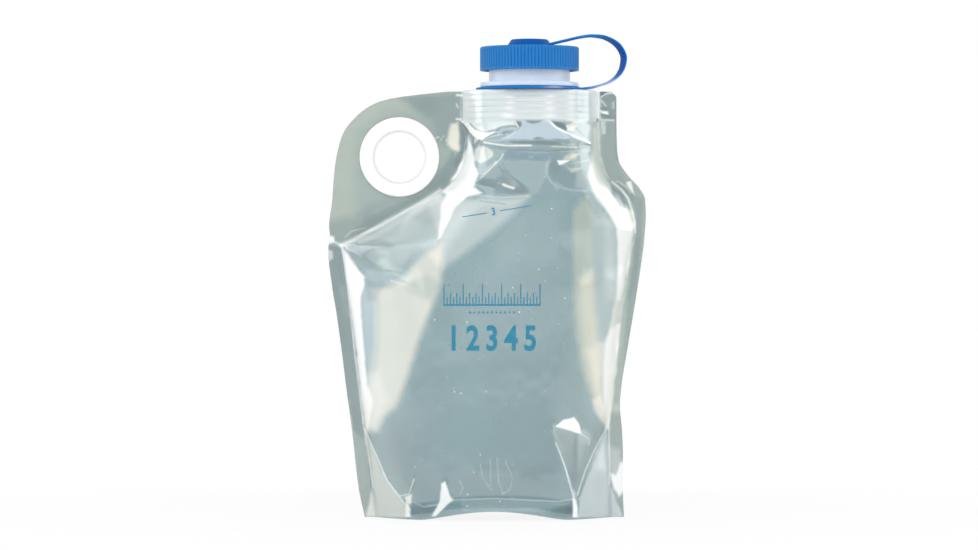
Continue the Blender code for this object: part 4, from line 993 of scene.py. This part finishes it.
def ranged(tree, value, before=(0, 1), after=(0, 1), **settings):
    """A value taken from one range, held inside it, to another."""
    ends = {"From Min": before[0], "From Max": before[1], "To Min": after[0], "To Max": after[1]}
    return add_node(tree, "MapRange", {"Value": value, **ends}, **settings).outputs["Result"]


def calculated(tree, operation, first, second, use_clamp=False):
    node = add_node(tree, "Math", {0: first, 1: second}, operation=operation, use_clamp=use_clamp)
    return node.outputs["Value"]


def mixed(tree, share, first, second):
    """The colour that lies that share of the way from the first to the second."""
    node = add_node(tree, "Mix", {"Factor": share, "A": first, "B": second}, data_type="RGBA")
    return node.outputs["Result"]


def noise_texture(tree, place, inputs):
    return add_node(tree, "TexNoise", {"Vector": place, **inputs}).outputs["Fac"]


def bump(tree, height, inputs):
    return add_node(tree, "Bump", {"Height": height, **inputs}).outputs["Normal"]


def point_value(tree, label):
    return add_node(tree, "Attribute", attribute_name=label).outputs["Fac"]


def new_material(name, color, roughness, ior=1.5):
    """A material with its node tree, its shader and the place that its textures go by."""
    material = bpy.data.materials.new(name)
    material.use_nodes = True
    tree = material.node_tree
    shader = tree.nodes["Principled BSDF"]
    set_inputs(tree, shader, {"Base Color": (*color, 1), "Roughness": roughness, "IOR": ior})
    return material, tree, shader, add_node(tree, "TexCoord").outputs["Object"]


def moulded_plastic(name, color, roughness, specular):
    """Matt injection-moulded plastic: a trace of mottling in the colour and gloss, and a fine grain. The
    piece's own value lays a painted highlight, a pale sheen, on it or, below 0, painted shade as in a dark
    recess."""
    material, tree, shader, place = new_material(name, color, roughness, PLASTIC_IOR)
    mottle = noise_texture(tree, place, PLASTIC_MOTTLE)
    painted = mixed(tree, mottle, *([min(c * share, 1) for c in color] + [1] for share in MOTTLE_SHARES))
    # Painted light on the piece: a painted highlight above 0, painted shade below 0
    light_tone = point_value(tree, "light_tone")
    for limit, paint_color in ((1, PAINTED_SHEEN), (-1, [c * share for c, share in zip(color, PAINTED_SHADE_SHARES)])):
        painted = mixed(tree, ranged(tree, light_tone, (0, limit)), painted, (*paint_color, 1))
    set_inputs(tree, shader, {
        "Base Color": painted,
        "Roughness": ranged(tree, mottle, after=[roughness + change for change in MOTTLE_ROUGHNESS]),
        "Specular IOR Level": specular,
        "Normal": bump(tree, noise_texture(tree, place, PLASTIC_GRAIN), PLASTIC_BUMP),
    })
    return material


def film_material():
    """Clear film, whitened and tinted by haze and painted highlights and darkened by painted shade, all from
    the sheet's values, with specks and a faint ripple.
    """
    material, tree, shader, place = new_material("film_clear", FILM_COLOR, FILM_ROUGHNESS, FILM_IOR)
    haze_and_highlight, warmth, shade, clear = (point_value(tree, label) for label in FILM_VALUES)

    cells = add_node(tree, "TexVoronoi", {"Vector": place, **SPECK_CELLS}).outputs
    chosen = add_node(tree, "SeparateColor", {"Color": cells["Color"]}).outputs["Red"]
    few = ranged(tree, chosen, SPECK_CHOICE, SPECK_STRENGTHS)
    few = calculated(tree, "MULTIPLY", few, ranged(tree, haze_and_highlight, SPECK_HAZE_EDGE))
    specks = calculated(tree, "MULTIPLY", few, ranged(tree, cells["Distance"], SPECK_EDGE))

    cloud = noise_texture(tree, place, FILM_CLOUD)
    # Haze and painted highlights, with specks and a faint cloud added
    milk_and_highlight = haze_and_highlight
    for extra in (specks, ranged(tree, cloud, after=CLOUD_HAZES)):
        milk_and_highlight = calculated(tree, "ADD", milk_and_highlight, extra, use_clamp=True)
    white = add_node(tree, "ValToRGB", {"Fac": warmth})
    stops = white.color_ramp.elements
    stops[0].color = BLUE_TINT
    stops[1].color = CREAM_TINT
    stops.new(UNTINTED).color = NO_TINT
    whitened = mixed(tree, milk_and_highlight, CLEAR_COLOR, white.outputs["Color"])
    cover = ranged(tree, milk_and_highlight, after=FILM_COVERS)
    set_inputs(tree, shader, {
        "Base Color": mixed(tree, shade, whitened, PAINTED_SHADE_COLOR),
        "Alpha": ranged(tree, clear, after=(cover, WELD_COVER)),
        "Roughness": ranged(tree, cloud, after=FILM_ROUGHNESSES),
        "Normal": bump(tree, cloud, FILM_RIPPLE),
        **FILM_GLOSS,
    })
    return material


def ink_material():
    """Teal ink, thinner here and there."""
    material, tree, shader, place = new_material("ink_teal", INK_COLOR, INK_ROUGHNESS)
    worn = noise_texture(tree, place, INK_WEAR)
    set_inputs(tree, shader, {"Alpha": ranged(tree, worn, INK_WEAR_EDGE, INK_COVERS)})
    return material


def film_sheet(name, front, material):
    """The front or the back sheet of film: chamber, handle web, side bands and the weld over the fitment."""
    x, depth, z, share, on_boat = sheet_rows(front)
    y = -depth if front else depth
    middle_x = (x[:-1, :-1] + x[1:, 1:]) / 2
    middle_z = (z[:-1, :-1] + z[1:, 1:]) / 2
    keep = np.hypot(middle_x - GROMMET_X, middle_z - GROMMET_Z) > FILM_HOLE_RADIUS
    on_web = (np.abs(share) >= 1).astype(float)
    over_boat = on_boat * (np.abs(x - NECK_X) < BOAT_HALF_LENGTH)
    px, py = sheet_px(front, x, depth, z)
    sway = [OUTLINE_WOBBLE_PX * fine_noise(x, z, OUTLINE_WOBBLE_SPAN, seed) for seed in OUTLINE_WOBBLE_SEEDS]
    # Painted highlights, reflections and shade over the web's haze, and painted glints on the weld over the
    # fitment
    tones = sheet_painted_light(px, py, sway, 1 if front else BACK_BLUR, on_web * WEB_HAZE, on_web * WEB_TINT)
    haze_and_highlight, tint, shade = (light_tone * (1 - over_boat) for light_tone in tones)
    haze_and_highlight += boat_haze_and_painted_glints(px, py) * over_boat
    sheet = grid_object(name, x, y, z, (haze_and_highlight, UNTINTED + tint / 2, shade, over_boat), keep)
    dress(sheet, material, "film", "bag", "front_film_panel" if front else "back_film_panel")
    fold_flat(sheet)
    return sheet, x, y, z


def trim_strip(name, start, end, material, shade):
    """A narrow strip of film between two rows of points, each an array of (x, y, z)."""
    rows = np.stack([start, (start + end) / 2, end])
    strip = grid_object(name, *np.moveaxis(rows, -1, 0), (TRIM_HAZE, UNTINTED, shade, 0))
    dress(strip, material, "film", "bag")
    fold_flat(strip)


def sheet_trims(front, back, material):
    """The welded sheets' cut edge at both sides, and the fold at the foot of each sheet."""
    _, x, y, z = front
    for name, column in (("seal_edge_left", 0), ("seal_edge_right", -1)):
        edge = np.stack([x[:, column], y[:, column], z[:, column]], axis=-1)
        trim_strip(name, edge, edge * (1, -1, 1), material, TRIM_SHADE)
    for name, (_, x, y, z) in (("foot_edge_front", front), ("foot_edge_back", back)):
        edge = np.stack([x[0], y[0], z[0]], axis=-1)
        inner = edge.copy()
        inner[:, 1] -= np.sign(edge[:, 1]) * np.minimum(SKIRT_GAP, np.abs(edge[:, 1]))
        trim_strip(name, edge, inner, material, 0)


def base_sheet(material):
    """The gusset: a skirt up the inside of each sheet to the base seam, and the sagging saddle between."""
    shares = np.linspace(-GUSSET_WIDTH_SHARE, GUSSET_WIDTH_SHARE, BASE_COLUMNS + 1)
    foot = bottom_arch(shares) + GUSSET_FLOOR_GAP
    z = foot + (base_seam(shares) - foot) * np.linspace(0, 1, SKIRT_STEPS + 1)[:, None]
    x = (left_seam(z) + right_seam(z)) / 2 + shares * (right_seam(z) - left_seam(z)) / 2
    crown, _ = chamber_crown(shares + 0 * z, x, z)
    y = -np.maximum(WELD_HALF_THICKNESS + crown - SKIRT_GAP, GUSSET_HALF_GAP)
    over = np.linspace(0, 1, SADDLE_STEPS + 1)[1:-1, None]
    sag = GUSSET_SAG * (1 - shares**2) * 4 * over * (1 - over)
    all_x = np.concatenate([x, x[-1] + 0 * over, x[::-1]])
    all_y = np.concatenate([y, y[-1] * (1 - 2 * over), -y[::-1]])
    all_z = np.concatenate([z, z[-1] - sag, z[::-1]])
    gusset = grid_object("base_sheet", all_x, all_y, all_z, (0, UNTINTED, 0, 0))
    dress(gusset, material, "film", "base", "base_gusset")
    fold_flat(gusset)


def bar(net, start, end, half_width):
    """A straight printed line in photo pixels."""
    (ax, ay), (bx, by) = start, end
    across = Vector((ay - by, bx - ax, 0)) * half_width / math.dist(start, end)
    corners = [Vector((*end_point, 0)) + turn * across for end_point, turn in
               ((start, 1), (end, 1), (end, -1), (start, -1))]
    net.faces.new([net.verts.new(corner) for corner in corners])


def number(net, text, centre, height, boldness, tilt_degrees=0):
    """Printed digits in photo pixels, drawn with Blender's own plain font."""
    curve = bpy.data.curves.new("digits", "FONT")
    curve.body = text
    curve.align_x = curve.align_y = "CENTER"
    curve.size = height / DIGIT_HEIGHT_SHARE
    curve.offset = boldness
    curve.resolution_u = MARK_CURVE_STEPS
    writing = add_object("digits", curve)
    bpy.context.view_layer.update()
    mesh = bpy.data.meshes.new_from_object(writing.evaluated_get(bpy.context.evaluated_depsgraph_get()))
    squeeze = Matrix.Diagonal((DIGIT_SQUEEZE, -1, 1, 1))
    tilt = Matrix.Rotation(math.radians(tilt_degrees), 4, "Z")
    mesh.transform(Matrix.Translation((*centre, 0)) @ tilt @ squeeze)
    net.from_mesh(mesh)
    bpy.data.objects.remove(writing)
    bpy.data.curves.remove(curve)
    bpy.data.meshes.remove(mesh)


def draw_marks(net):
    """Plain generic print in photo pixels: a numbered fill line, a scale over dashes, and its numbers."""
    for start, end in MARK_FILL_LINES:
        bar(net, start, end, MARK_FILL_HALF_WIDTH)
    number(net, "3", MARK_FILL_PLACE, MARK_FILL_HEIGHT, MARK_FILL_BOLDNESS, MARK_FILL_TILT_DEGREES)
    low, high = MARK_SCALE_SPAN
    ends = [(x, MARK_SCALE_Y) for x in (low - MARK_TICK_HALF_WIDTH, high + MARK_TICK_HALF_WIDTH)]
    bar(net, *ends, MARK_SCALE_HALF_WIDTH)
    for i, x in enumerate(np.linspace(low, high, MARK_NUMBERS * MARK_TICKS + 1)):
        tick = MARK_TICK_HEIGHTS[0] if i % MARK_TICKS == 0 else MARK_TICK_HEIGHTS[1 + i % 2]
        bar(net, (x, MARK_SCALE_Y), (x, MARK_SCALE_Y - tick), MARK_TICK_HALF_WIDTH)
    for x in np.linspace(*MARK_DOTS_SPAN, MARK_DOTS):
        ends = [(x + side * MARK_DOT_HALF_WIDTH, MARK_DOTS_Y) for side in (-1, 1)]
        bar(net, *ends, MARK_DOT_HALF_WIDTH)
    for i in range(MARK_NUMBERS):
        centre = low + (high - low) * (i + 0.5) / MARK_NUMBERS
        number(net, str(i + 1), (centre, MARK_NUMBER_Y), MARK_NUMBER_HEIGHT, MARK_NUMBER_BOLDNESS)


def fill_marks(front_sheet):
    """The print, cut into small cells and laid on the front sheet along the camera's rays."""
    net = bmesh.new()
    draw_marks(net)
    for axis in (0, 1):
        places = [v.co[axis] for v in net.verts]
        for cut in np.arange(min(places), max(places), MARK_CELL):
            plane = Vector((0, 0, 0))
            plane[axis] = 1
            everything = net.verts[:] + net.edges[:] + net.faces[:]
            bmesh.ops.bisect_plane(net, geom=everything, plane_co=plane * float(cut), plane_no=plane)
    eye = Vector((CAMERA_X, -CAMERA_DISTANCE, CAMERA_Z))
    surface = BVHTree.FromPolygons([v.co for v in front_sheet.data.vertices],
                                   [p.vertices for p in front_sheet.data.polygons])
    for vert in net.verts:
        aim = Vector((CAMERA_X + (vert.co.x - PHOTO_CENTRE_PX[0]) * PIXEL, 0,
                      CAMERA_Z - (vert.co.y - PHOTO_CENTRE_PX[1]) * PIXEL))
        ray = (aim - eye).normalized()
        vert.co = surface.ray_cast(eye, ray)[0] - ray * MARK_STANDOFF
    for face in net.faces:
        face.normal_update()
        if face.normal.y > 0:
            face.normal_flip()
    mesh = bpy.data.meshes.new("fill_marks")
    net.to_mesh(mesh)
    net.free()
    marks = add_object("fill_marks", mesh)
    dress(marks, ink_material(), "film", "bag")
    fold_flat(marks)


def mesh_object(name, points, faces):
    """A moulded piece, smooth but for its sharp edges."""
    mesh = bpy.data.meshes.new(name)
    mesh.from_pydata([tuple(p) for p in points], [], faces)
    net = bmesh.new()
    net.from_mesh(mesh)
    bmesh.ops.recalc_face_normals(net, faces=net.faces)
    net.to_mesh(mesh)
    net.free()
    mesh.shade_smooth()
    mesh.set_sharp_from_angle(angle=math.radians(SHARP_DEGREES))
    return add_object(name, mesh)


def paint_light_and_shade(piece, tones):
    """Lays painted light on a moulded piece, a value for each point: a painted highlight, a pale sheen, or
    with a minus sign painted shade, as in a dark recess.
    """
    layer = piece.data.attributes.new("light_tone", "FLOAT", "POINT")
    layer.data.foreach_set("value", np.array(tones, np.float32))


def loft(name, rings, closed=True):
    """A surface through rings of equally many points. A closed one ends where it starts."""
    count = len(rings[0])
    points = [p for ring in rings for p in ring]
    faces = []
    for r in range(len(rings) if closed else len(rings) - 1):
        lower, upper = r * count, (r + 1) % len(rings) * count
        for i in range(count):
            j = (i + 1) % count
            faces.append((lower + i, lower + j, upper + j, upper + i))
    if not closed:
        faces += [tuple(range(count)), tuple(range(len(points) - count, len(points)))]
    return mesh_object(name, points, faces)


def filleted(corners):
    """A turned profile of (radius, height, round) corners, each rounded by its own size."""
    profile = []
    for i, (radius, height, size) in enumerate(corners):
        if not size:
            profile.append((radius, height))
            continue
        corner = np.array((radius, height))
        arms = []
        for other in (corners[i - 1], corners[(i + 1) % len(corners)]):
            arm = np.array(other[:2]) - corner
            arms.append(arm * min(size / np.hypot(*arm), ROUND_LONGEST_SHARE))
        profile += [tuple(corner + arms[0] * (1 - t) ** 2 + arms[1] * t**2)
                    for t in np.linspace(0, 1, ROUND_STEPS + 1)]
    return profile


def turned(name, profile, steps, reshape=None):
    """A profile of (radius, height) points turned round the Z axis; it may start and end on it."""
    angles = np.linspace(0, 2 * np.pi, steps, endpoint=False)
    points, rings = [], []
    for radius, height in profile:
        if radius == 0:
            rings.append([len(points)] * steps)
            points.append((0, 0, height))
            continue
        radii = reshape(radius, height, angles) if reshape else np.full(steps, radius)
        rings.append(list(range(len(points), len(points) + steps)))
        points += [(r * math.cos(a), r * math.sin(a), height) for r, a in zip(radii, angles)]
    if profile[0][0] > 0:
        rings.append(rings[0])
    faces = []
    for lower, upper in zip(rings, rings[1:]):
        for i in range(steps):
            j = (i + 1) % steps
            faces.append(tuple(dict.fromkeys((lower[i], lower[j], upper[j], upper[i]))))
    return mesh_object(name, points, faces)


def boat_outline(inset):
    """The fitment's plan outline, pointed at both ends, as (x, y) points round it."""
    shares = np.cos(np.linspace(0, np.pi, BOAT_STEPS + 1))
    length, depth = BOAT_HALF_LENGTH - inset, BOAT_HALF_DEPTH - inset
    front = [(s * length, -depth * lens(s)) for s in shares]
    back = [(s * length, depth * lens(s)) for s in shares[-2:0:-1]]
    return front + back


def helix(name, root, height, start):
    """A screw thread with sloped flanks that tapers off at its ends. A negative height stands inwards."""
    steps = int(THREAD_STEPS * THREAD_TURNS)
    sunk = root - math.copysign(THREAD_SINK, height)
    rings = []
    for step in range(steps + 1):
        turn = step / THREAD_STEPS
        angle = 2 * math.pi * turn
        crest = root + height * float(smoothstep(0, THREAD_TAPER_TURNS, min(turn, THREAD_TURNS - turn)))
        section = (
            (sunk, -THREAD_ROOT_WIDTH / 2), (crest, -THREAD_CREST_WIDTH / 2),
            (crest, THREAD_CREST_WIDTH / 2), (sunk, THREAD_ROOT_WIDTH / 2),
        )
        rings.append([(NECK_X + r * math.cos(angle), r * math.sin(angle), start + THREAD_LEAD * turn + up)
                      for r, up in section])
    return loft(name, rings, closed=False)


def neck_fitment(material):
    """The welded boat, and the neck with its flange and thread."""
    rings = []
    for height in np.linspace(BOAT_BOTTOM, BOAT_TOP, BOAT_LEVELS + 1):
        rings.append([(x, y, height) for x, y in boat_outline(float(rib_inset(height)))])
    directions = [math.atan2(y, x) for x, y in boat_outline(0)]
    corners = (
        (NECK_RADIUS, BOAT_TOP, 0), (NECK_RADIUS, FLANGE_BOTTOM, 0),
        (FLANGE_RADIUS, FLANGE_BOTTOM, FLANGE_ROUND), (FLANGE_RADIUS, FLANGE_TOP, FLANGE_ROUND),
        (NECK_RADIUS, FLANGE_TOP, SOFT_ROUND), (NECK_RADIUS, NECK_RIM, RIM_ROUND),
        (BORE_RADIUS, NECK_RIM, RIM_ROUND), (BORE_RADIUS, BOAT_BOTTOM, 0),
    )
    for radius, height in filleted(corners):
        rings.append([(radius * math.cos(a), radius * math.sin(a), height) for a in directions])
    fitment = loft("spout_fitment", rings)
    fitment.location.x = NECK_X
    dress(fitment, material, "fitment", "bag", "neck_fitment")
    dress(helix("spout_thread", NECK_RADIUS, THREAD_HEIGHT, THREAD_START), material, "fitment", "bag")


def knurl(radius, height, angles):
    """The grip's rounded ribs, which fade out at the smooth band below and over the top edge."""
    off = np.abs(np.mod(angles * KNURL_RIBS / (2 * np.pi), 1) - 0.5) * 2
    groove = 1 - np.sqrt(1 - KNURL_FULLNESS * off**2)
    below = smoothstep(KNURL_BOTTOM - KNURL_FADE, KNURL_BOTTOM + KNURL_FADE, height)
    over = smoothstep(*(CAP_RADIUS - inset for inset in KNURL_OVER_INSETS), radius)
    return radius - KNURL_DEPTH * groove * below * over


def screw_cap(material):
    """The ribbed cap with its plug, its thread and the boss that the tether's collar turns on."""
    under = CAP_TOP - CAP_ROOF
    wall = CAP_RADIUS - CAP_SKIRT_WALL
    plug = BORE_RADIUS - RUN_GAP
    inner_plug = plug - PLUG_WALL
    plug_end = under - PLUG_DEPTH
    corners = (
        (0, CAP_HIGH.z, 0), (BOSS_HEAD_RADIUS, CAP_HIGH.z, THIN_ROUND),
        (BOSS_HEAD_RADIUS, BOSS_HEAD_BOTTOM, CRISP_ROUND), (BOSS_RADIUS, BOSS_HEAD_BOTTOM, 0),
        (BOSS_RADIUS, CAP_TOP, CRISP_ROUND), (CAP_RADIUS, CAP_TOP, CAP_EDGE_ROUND),
        (CAP_RADIUS, CAP_LOW.z, THIN_ROUND), (wall, CAP_LOW.z, FINE_ROUND), (wall, under, SOFT_ROUND),
        (plug, under, FINE_ROUND), (plug, plug_end, RIM_ROUND), (inner_plug, plug_end, FINE_ROUND),
        (inner_plug, under, FINE_ROUND), (0, under, 0),
    )
    profile = []
    for point, after in zip(filleted(corners), filleted(corners)[1:] + [None]):
        profile.append(point)
        if after and point[0] == after[0] == CAP_RADIUS:
            profile += [(CAP_RADIUS, z) for z in np.linspace(point[1], after[1], GRIP_ROWS)[1:-1]]
    cap = turned("ribbed_cap", profile, KNURL_RIBS * KNURL_SAMPLES, knurl)
    points = np.array([v.co for v in cap.data.vertices])
    on_grip = (points[:, 2] > KNURL_BOTTOM) & (points[:, 2] < CAP_TOP - CAP_EDGE_ROUND)
    sunk = (CAP_RADIUS - np.hypot(points[:, 0], points[:, 1])) / KNURL_DEPTH
    # Painted shade in the grip's grooves
    paint_light_and_shade(cap, -GROOVE_SHADE * np.clip(sunk, 0, 1) * on_grip * (sunk < KNURL_DEEPEST))
    cap.location.x = NECK_X
    dress(cap, material, "cap_blue", "cap", "screw_cap")
    thread = helix("cap_thread", wall, -THREAD_HEIGHT, THREAD_START - THREAD_LEAD / 2)
    dress(thread, material, "cap_blue", "cap")


def tether_collar(material):
    """The collar that snaps over the cap's boss and turns on it."""
    bore, counterbore = BOSS_RADIUS + RUN_GAP, BOSS_HEAD_RADIUS + RUN_GAP
    base = (COLLAR_HIGH.x - COLLAR_LOW.x) / 2
    step = BOSS_HEAD_BOTTOM - RUN_GAP
    corners = (
        (bore, COLLAR_LOW.z, HAIR_ROUND), (base, COLLAR_LOW.z, CRISP_ROUND),
        (COLLAR_TOP_RADIUS, COLLAR_HIGH.z, COLLAR_ROUND), (counterbore, COLLAR_HIGH.z, FINE_ROUND),
        (counterbore, step, 0), (bore, step, HAIR_ROUND),
    )
    collar = turned("tether_eye", filleted(corners), COLLAR_STEPS)
    collar.location.x = NECK_X
    dress(collar, material, "tether_blue", "collar", "tether_collar")


def neck_ring(material):
    """The tether's ring round the neck, with a painted highlight, a glint, on its front."""
    corners = (
        (RING_INNER_RADIUS, RING_LOW.z, FINE_ROUND), (RING_OUTER_RADIUS, RING_LOW.z, THIN_ROUND),
        (RING_OUTER_RADIUS, RING_HIGH.z, THIN_ROUND), (RING_INNER_RADIUS, RING_HIGH.z, FINE_ROUND),
    )
    ring = turned("neck_loop", filleted(corners), RING_STEPS)
    # A painted highlight on the ring's front
    paint_light_and_shade(ring, [RING_PAINTED_GLINT * math.exp(-((v.co.x - RING_PAINTED_GLINT_X) / RING_PAINTED_GLINT_REACH) ** 2) * (v.co.y < 0)
                 for v in ring.data.vertices])
    ring.location.x = NECK_X
    dress(ring, material, "tether_blue", "neck_ring", "tether_neck_ring")


def strap_section():
    """A flat section with rounded corners as (across the width, through the thickness) points."""
    wide, thick, round_size = STRAP_WIDTH / 2, STRAP_THICKNESS / 2, STRAP_THICKNESS * STRAP_ROUND_SHARE
    section = []
    for side, up, first in ((1, 1, 0), (-1, 1, 90), (-1, -1, 180), (1, -1, 270)):
        for angle in np.radians(np.linspace(first, first + 90, STRAP_ROUND_STEPS)):
            section.append((side * (wide - round_size) + round_size * math.cos(angle),
                            up * (thick - round_size) + round_size * math.sin(angle)))
    return section


def tether_strap(material):
    """The moulded strap. It leaves the collar flat, twists a little on its way and lies flat on the ring."""
    points = [(out * STRAP_REACH, RING_MIDDLE + up * STRAP_RISE) for out, up in STRAP_PATH_SHARES]
    runs = np.cumsum([0] + [math.dist(a, b) for a, b in zip(points, points[1:])])
    along = np.linspace(0, runs[-1], STRAP_STEPS + 1)
    out, up = (smooth_curve([(s, p[axis]) for s, p in zip(runs, points)])(along) for axis in (0, 1))
    twist, outer_painted_light, inner_painted_light = (
        smooth_curve(table)(along / runs[-1])
        for table in (STRAP_TWIST_SHARES, STRAP_OUTER_PAINTED_LIGHT, STRAP_INNER_PAINTED_LIGHT)
    )
    turns = np.radians(STRAP_TWIST_DEGREES * twist)
    headings = np.stack([np.gradient(out), np.gradient(up)], axis=1)
    headings /= np.hypot(*headings.T)[:, None]
    rings = []
    for centre_out, centre_up, turn, (run, climb) in zip(out, up, turns, headings):
        away = Vector((-climb, 0, run))
        front = Vector((0, -1, 0))
        across = front * math.cos(turn) + away * math.sin(turn)
        through = away * math.cos(turn) - front * math.sin(turn)
        centre = Vector((NECK_X + centre_out, 0, centre_up))
        rings.append([centre + across * a + through * b for a, b in strap_section()])
    strap = loft("tether_band", rings, closed=False)
    # Painted highlight and painted shade on the strap's outer and inner face
    paint_light_and_shade(strap, [outer if through > 0 else inner
                  for outer, inner in zip(outer_painted_light, inner_painted_light) for _, through in strap_section()])
    strap.data.materials.append(material)
    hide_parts("tether_strap")
    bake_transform(strap)


def grommet(material, bore_shade_material):
    """The two halves of the white grommet and the thin rings of painted shade at the edge of its bore, turned
    round the hole's axis.
    """
    face = WELD_HALF_THICKNESS + GROMMET_SEAT_GAP
    outer = -GROMMET_LOW.y
    sleeve = GROMMET_SLEEVE_RADIUS + GROMMET_SEAT_GAP
    bore_shade_radius = GROMMET_BORE_RADIUS - BORE_SHADE_STANDOFF
    front = (
        (GROMMET_BORE_RADIUS, -outer, FINE_ROUND), (GROMMET_BORE_RADIUS, outer, SOFT_ROUND),
        (GROMMET_RADIUS, outer, GROMMET_ROUND), (GROMMET_RADIUS, face, HAIR_ROUND),
        (GROMMET_SLEEVE_RADIUS, face, 0), (GROMMET_SLEEVE_RADIUS, -outer, FINE_ROUND),
    )
    back = (
        (sleeve, face, 0), (sleeve, outer, FINE_ROUND),
        (GROMMET_RADIUS, outer, GROMMET_ROUND), (GROMMET_RADIUS, face, HAIR_ROUND),
    )
    # A thin ring of painted shade round the bore's edge
    bore_shade = (
        (bore_shade_radius, outer - BORE_SHADE_WIDTH, 0), (bore_shade_radius, outer - BORE_SHADE_STANDOFF, HAIR_ROUND),
        (GROMMET_BORE_RADIUS + BORE_SHADE_WIDTH, outer + BORE_SHADE_STANDOFF, HAIR_ROUND),
        (GROMMET_BORE_RADIUS + BORE_SHADE_WIDTH, outer - BORE_SHADE_WIDTH, 0),
    )
    for name, corners, turn_degrees, finish, nodes in (
        ("grommet_front", front, 90, material, ["grommet_front_half"]),
        ("grommet_back", back, -90, material, ["grommet_back_half"]),
        ("grommet_front_bore_shade", bore_shade, 90, bore_shade_material, []),
        ("grommet_back_bore_shade", bore_shade, -90, bore_shade_material, []),
    ):
        piece = turned(name, filleted(corners), GROMMET_STEPS)
        piece.location = (GROMMET_X, 0, GROMMET_Z)
        piece.rotation_euler = (math.radians(turn_degrees), 0, 0)
        dress(piece, finish, "grommet_white", "bag", *nodes)


def white_world():
    """White all round, dimmer on the camera's side, and full white to the camera itself."""
    world = bpy.data.worlds.new("studio")
    world.use_nodes = True
    tree = world.node_tree
    way = add_node(tree, "TexCoord").outputs["Generated"]
    side = add_node(tree, "SeparateXYZ", {"Vector": way}).outputs["Y"]
    strength = ranged(tree, side, WORLD_SIDES, WORLD_STRENGTHS, interpolation_type="SMOOTHSTEP")
    seen = add_node(tree, "LightPath").outputs["Is Camera Ray"]
    set_inputs(tree, tree.nodes["Background"], {
        "Color": (*WHITE, 1), "Strength": calculated(tree, "MAXIMUM", seen, strength),
    })
    bpy.context.scene.world = world


def white_floor():
    """A floor that keeps the carrier's shadow, but to the camera glows white, most of all further out."""
    mesh = bpy.data.meshes.new("floor")
    reach = FLOOR_HALF_WIDTH
    corners = ((-reach, -reach, 0), (reach, -reach, 0), (reach, reach, 0), (-reach, reach, 0))
    mesh.from_pydata(corners, [], [(0, 1, 2, 3)])
    floor = add_object("floor", mesh)
    material, tree, shader, place = new_material("floor_white", FLOOR_COLOR, FLOOR_ROUGHNESS)
    distance = add_node(tree, "VectorMath", {0: place}, operation="LENGTH").outputs["Value"]
    glow = ranged(tree, distance, FLOOR_DISTANCES, FLOOR_GLOWS, interpolation_type="SMOOTHSTEP")
    seen = add_node(tree, "LightPath").outputs["Is Camera Ray"]
    mix = add_node(tree, "MixShader", {
        "Fac": calculated(tree, "MULTIPLY", seen, glow),
        1: shader.outputs["BSDF"],
        2: add_node(tree, "Emission", {"Strength": 1}).outputs["Emission"],
    })
    set_inputs(tree, tree.nodes["Material Output"], {"Surface": mix.outputs["Shader"]})
    mesh.materials.append(material)


def area_light(name, azimuth, elevation, distance, size, radiance, color, shines):
    """A soft box that faces the carrier's middle and either shows in reflections only or gives light only."""
    a, e = math.radians(azimuth), math.radians(elevation)
    lamp = bpy.data.lights.new(name, "AREA")
    lamp.shape = "RECTANGLE"
    lamp.size, lamp.size_y = size
    lamp.energy = radiance * math.pi * size[0] * size[1]
    lamp.color = color
    thing = add_object(name, lamp)
    out = Vector((math.sin(a) * math.cos(e), -math.cos(a) * math.cos(e), math.sin(e)))
    thing.location = Vector((0, 0, CAMERA_Z)) + out * distance
    thing.rotation_euler = out.to_track_quat("Z", "Y").to_euler()
    thing.visible_camera = False
    thing.visible_diffuse = not shines
    thing.visible_glossy = shines


def photo_camera():
    """The camera that shows one pixel of the photograph as PIXEL metres on the plane y = 0."""
    camera = bpy.data.cameras.new("camera")
    camera.sensor_width = SENSOR_WIDTH_MM
    camera.lens = SENSOR_WIDTH_MM * CAMERA_DISTANCE / (PHOTO_WIDTH_PX * PIXEL)
    eye = add_object("camera", camera)
    eye.location = (CAMERA_X, -CAMERA_DISTANCE, CAMERA_Z)
    eye.rotation_euler = (math.radians(90), 0, 0)
    bpy.context.scene.camera = eye


def main():
    bpy.context.scene.view_settings.view_transform = "Standard"
    white_world()
    white_floor()
    for lamp in LAMPS:
        area_light(*lamp)
    photo_camera()
    film = film_material()
    plastics = {name: moulded_plastic(name, *finish) for name, finish in PLASTICS.items()}
    front = film_sheet("front_sheet", True, film)
    back = film_sheet("back_sheet", False, film)
    sheet_trims(front, back, film)
    fill_marks(front[0])
    base_sheet(film)
    neck_fitment(plastics["fitment_white"])
    screw_cap(plastics["cap_blue_plastic"])
    tether_collar(plastics["collar_blue_painted_shade_plastic"])
    tether_strap(plastics["tether_blue_plastic"])
    neck_ring(plastics["tether_blue_plastic"])
    grommet(plastics["grommet_plastic"], plastics["grommet_bore_shade_plastic"])


main()
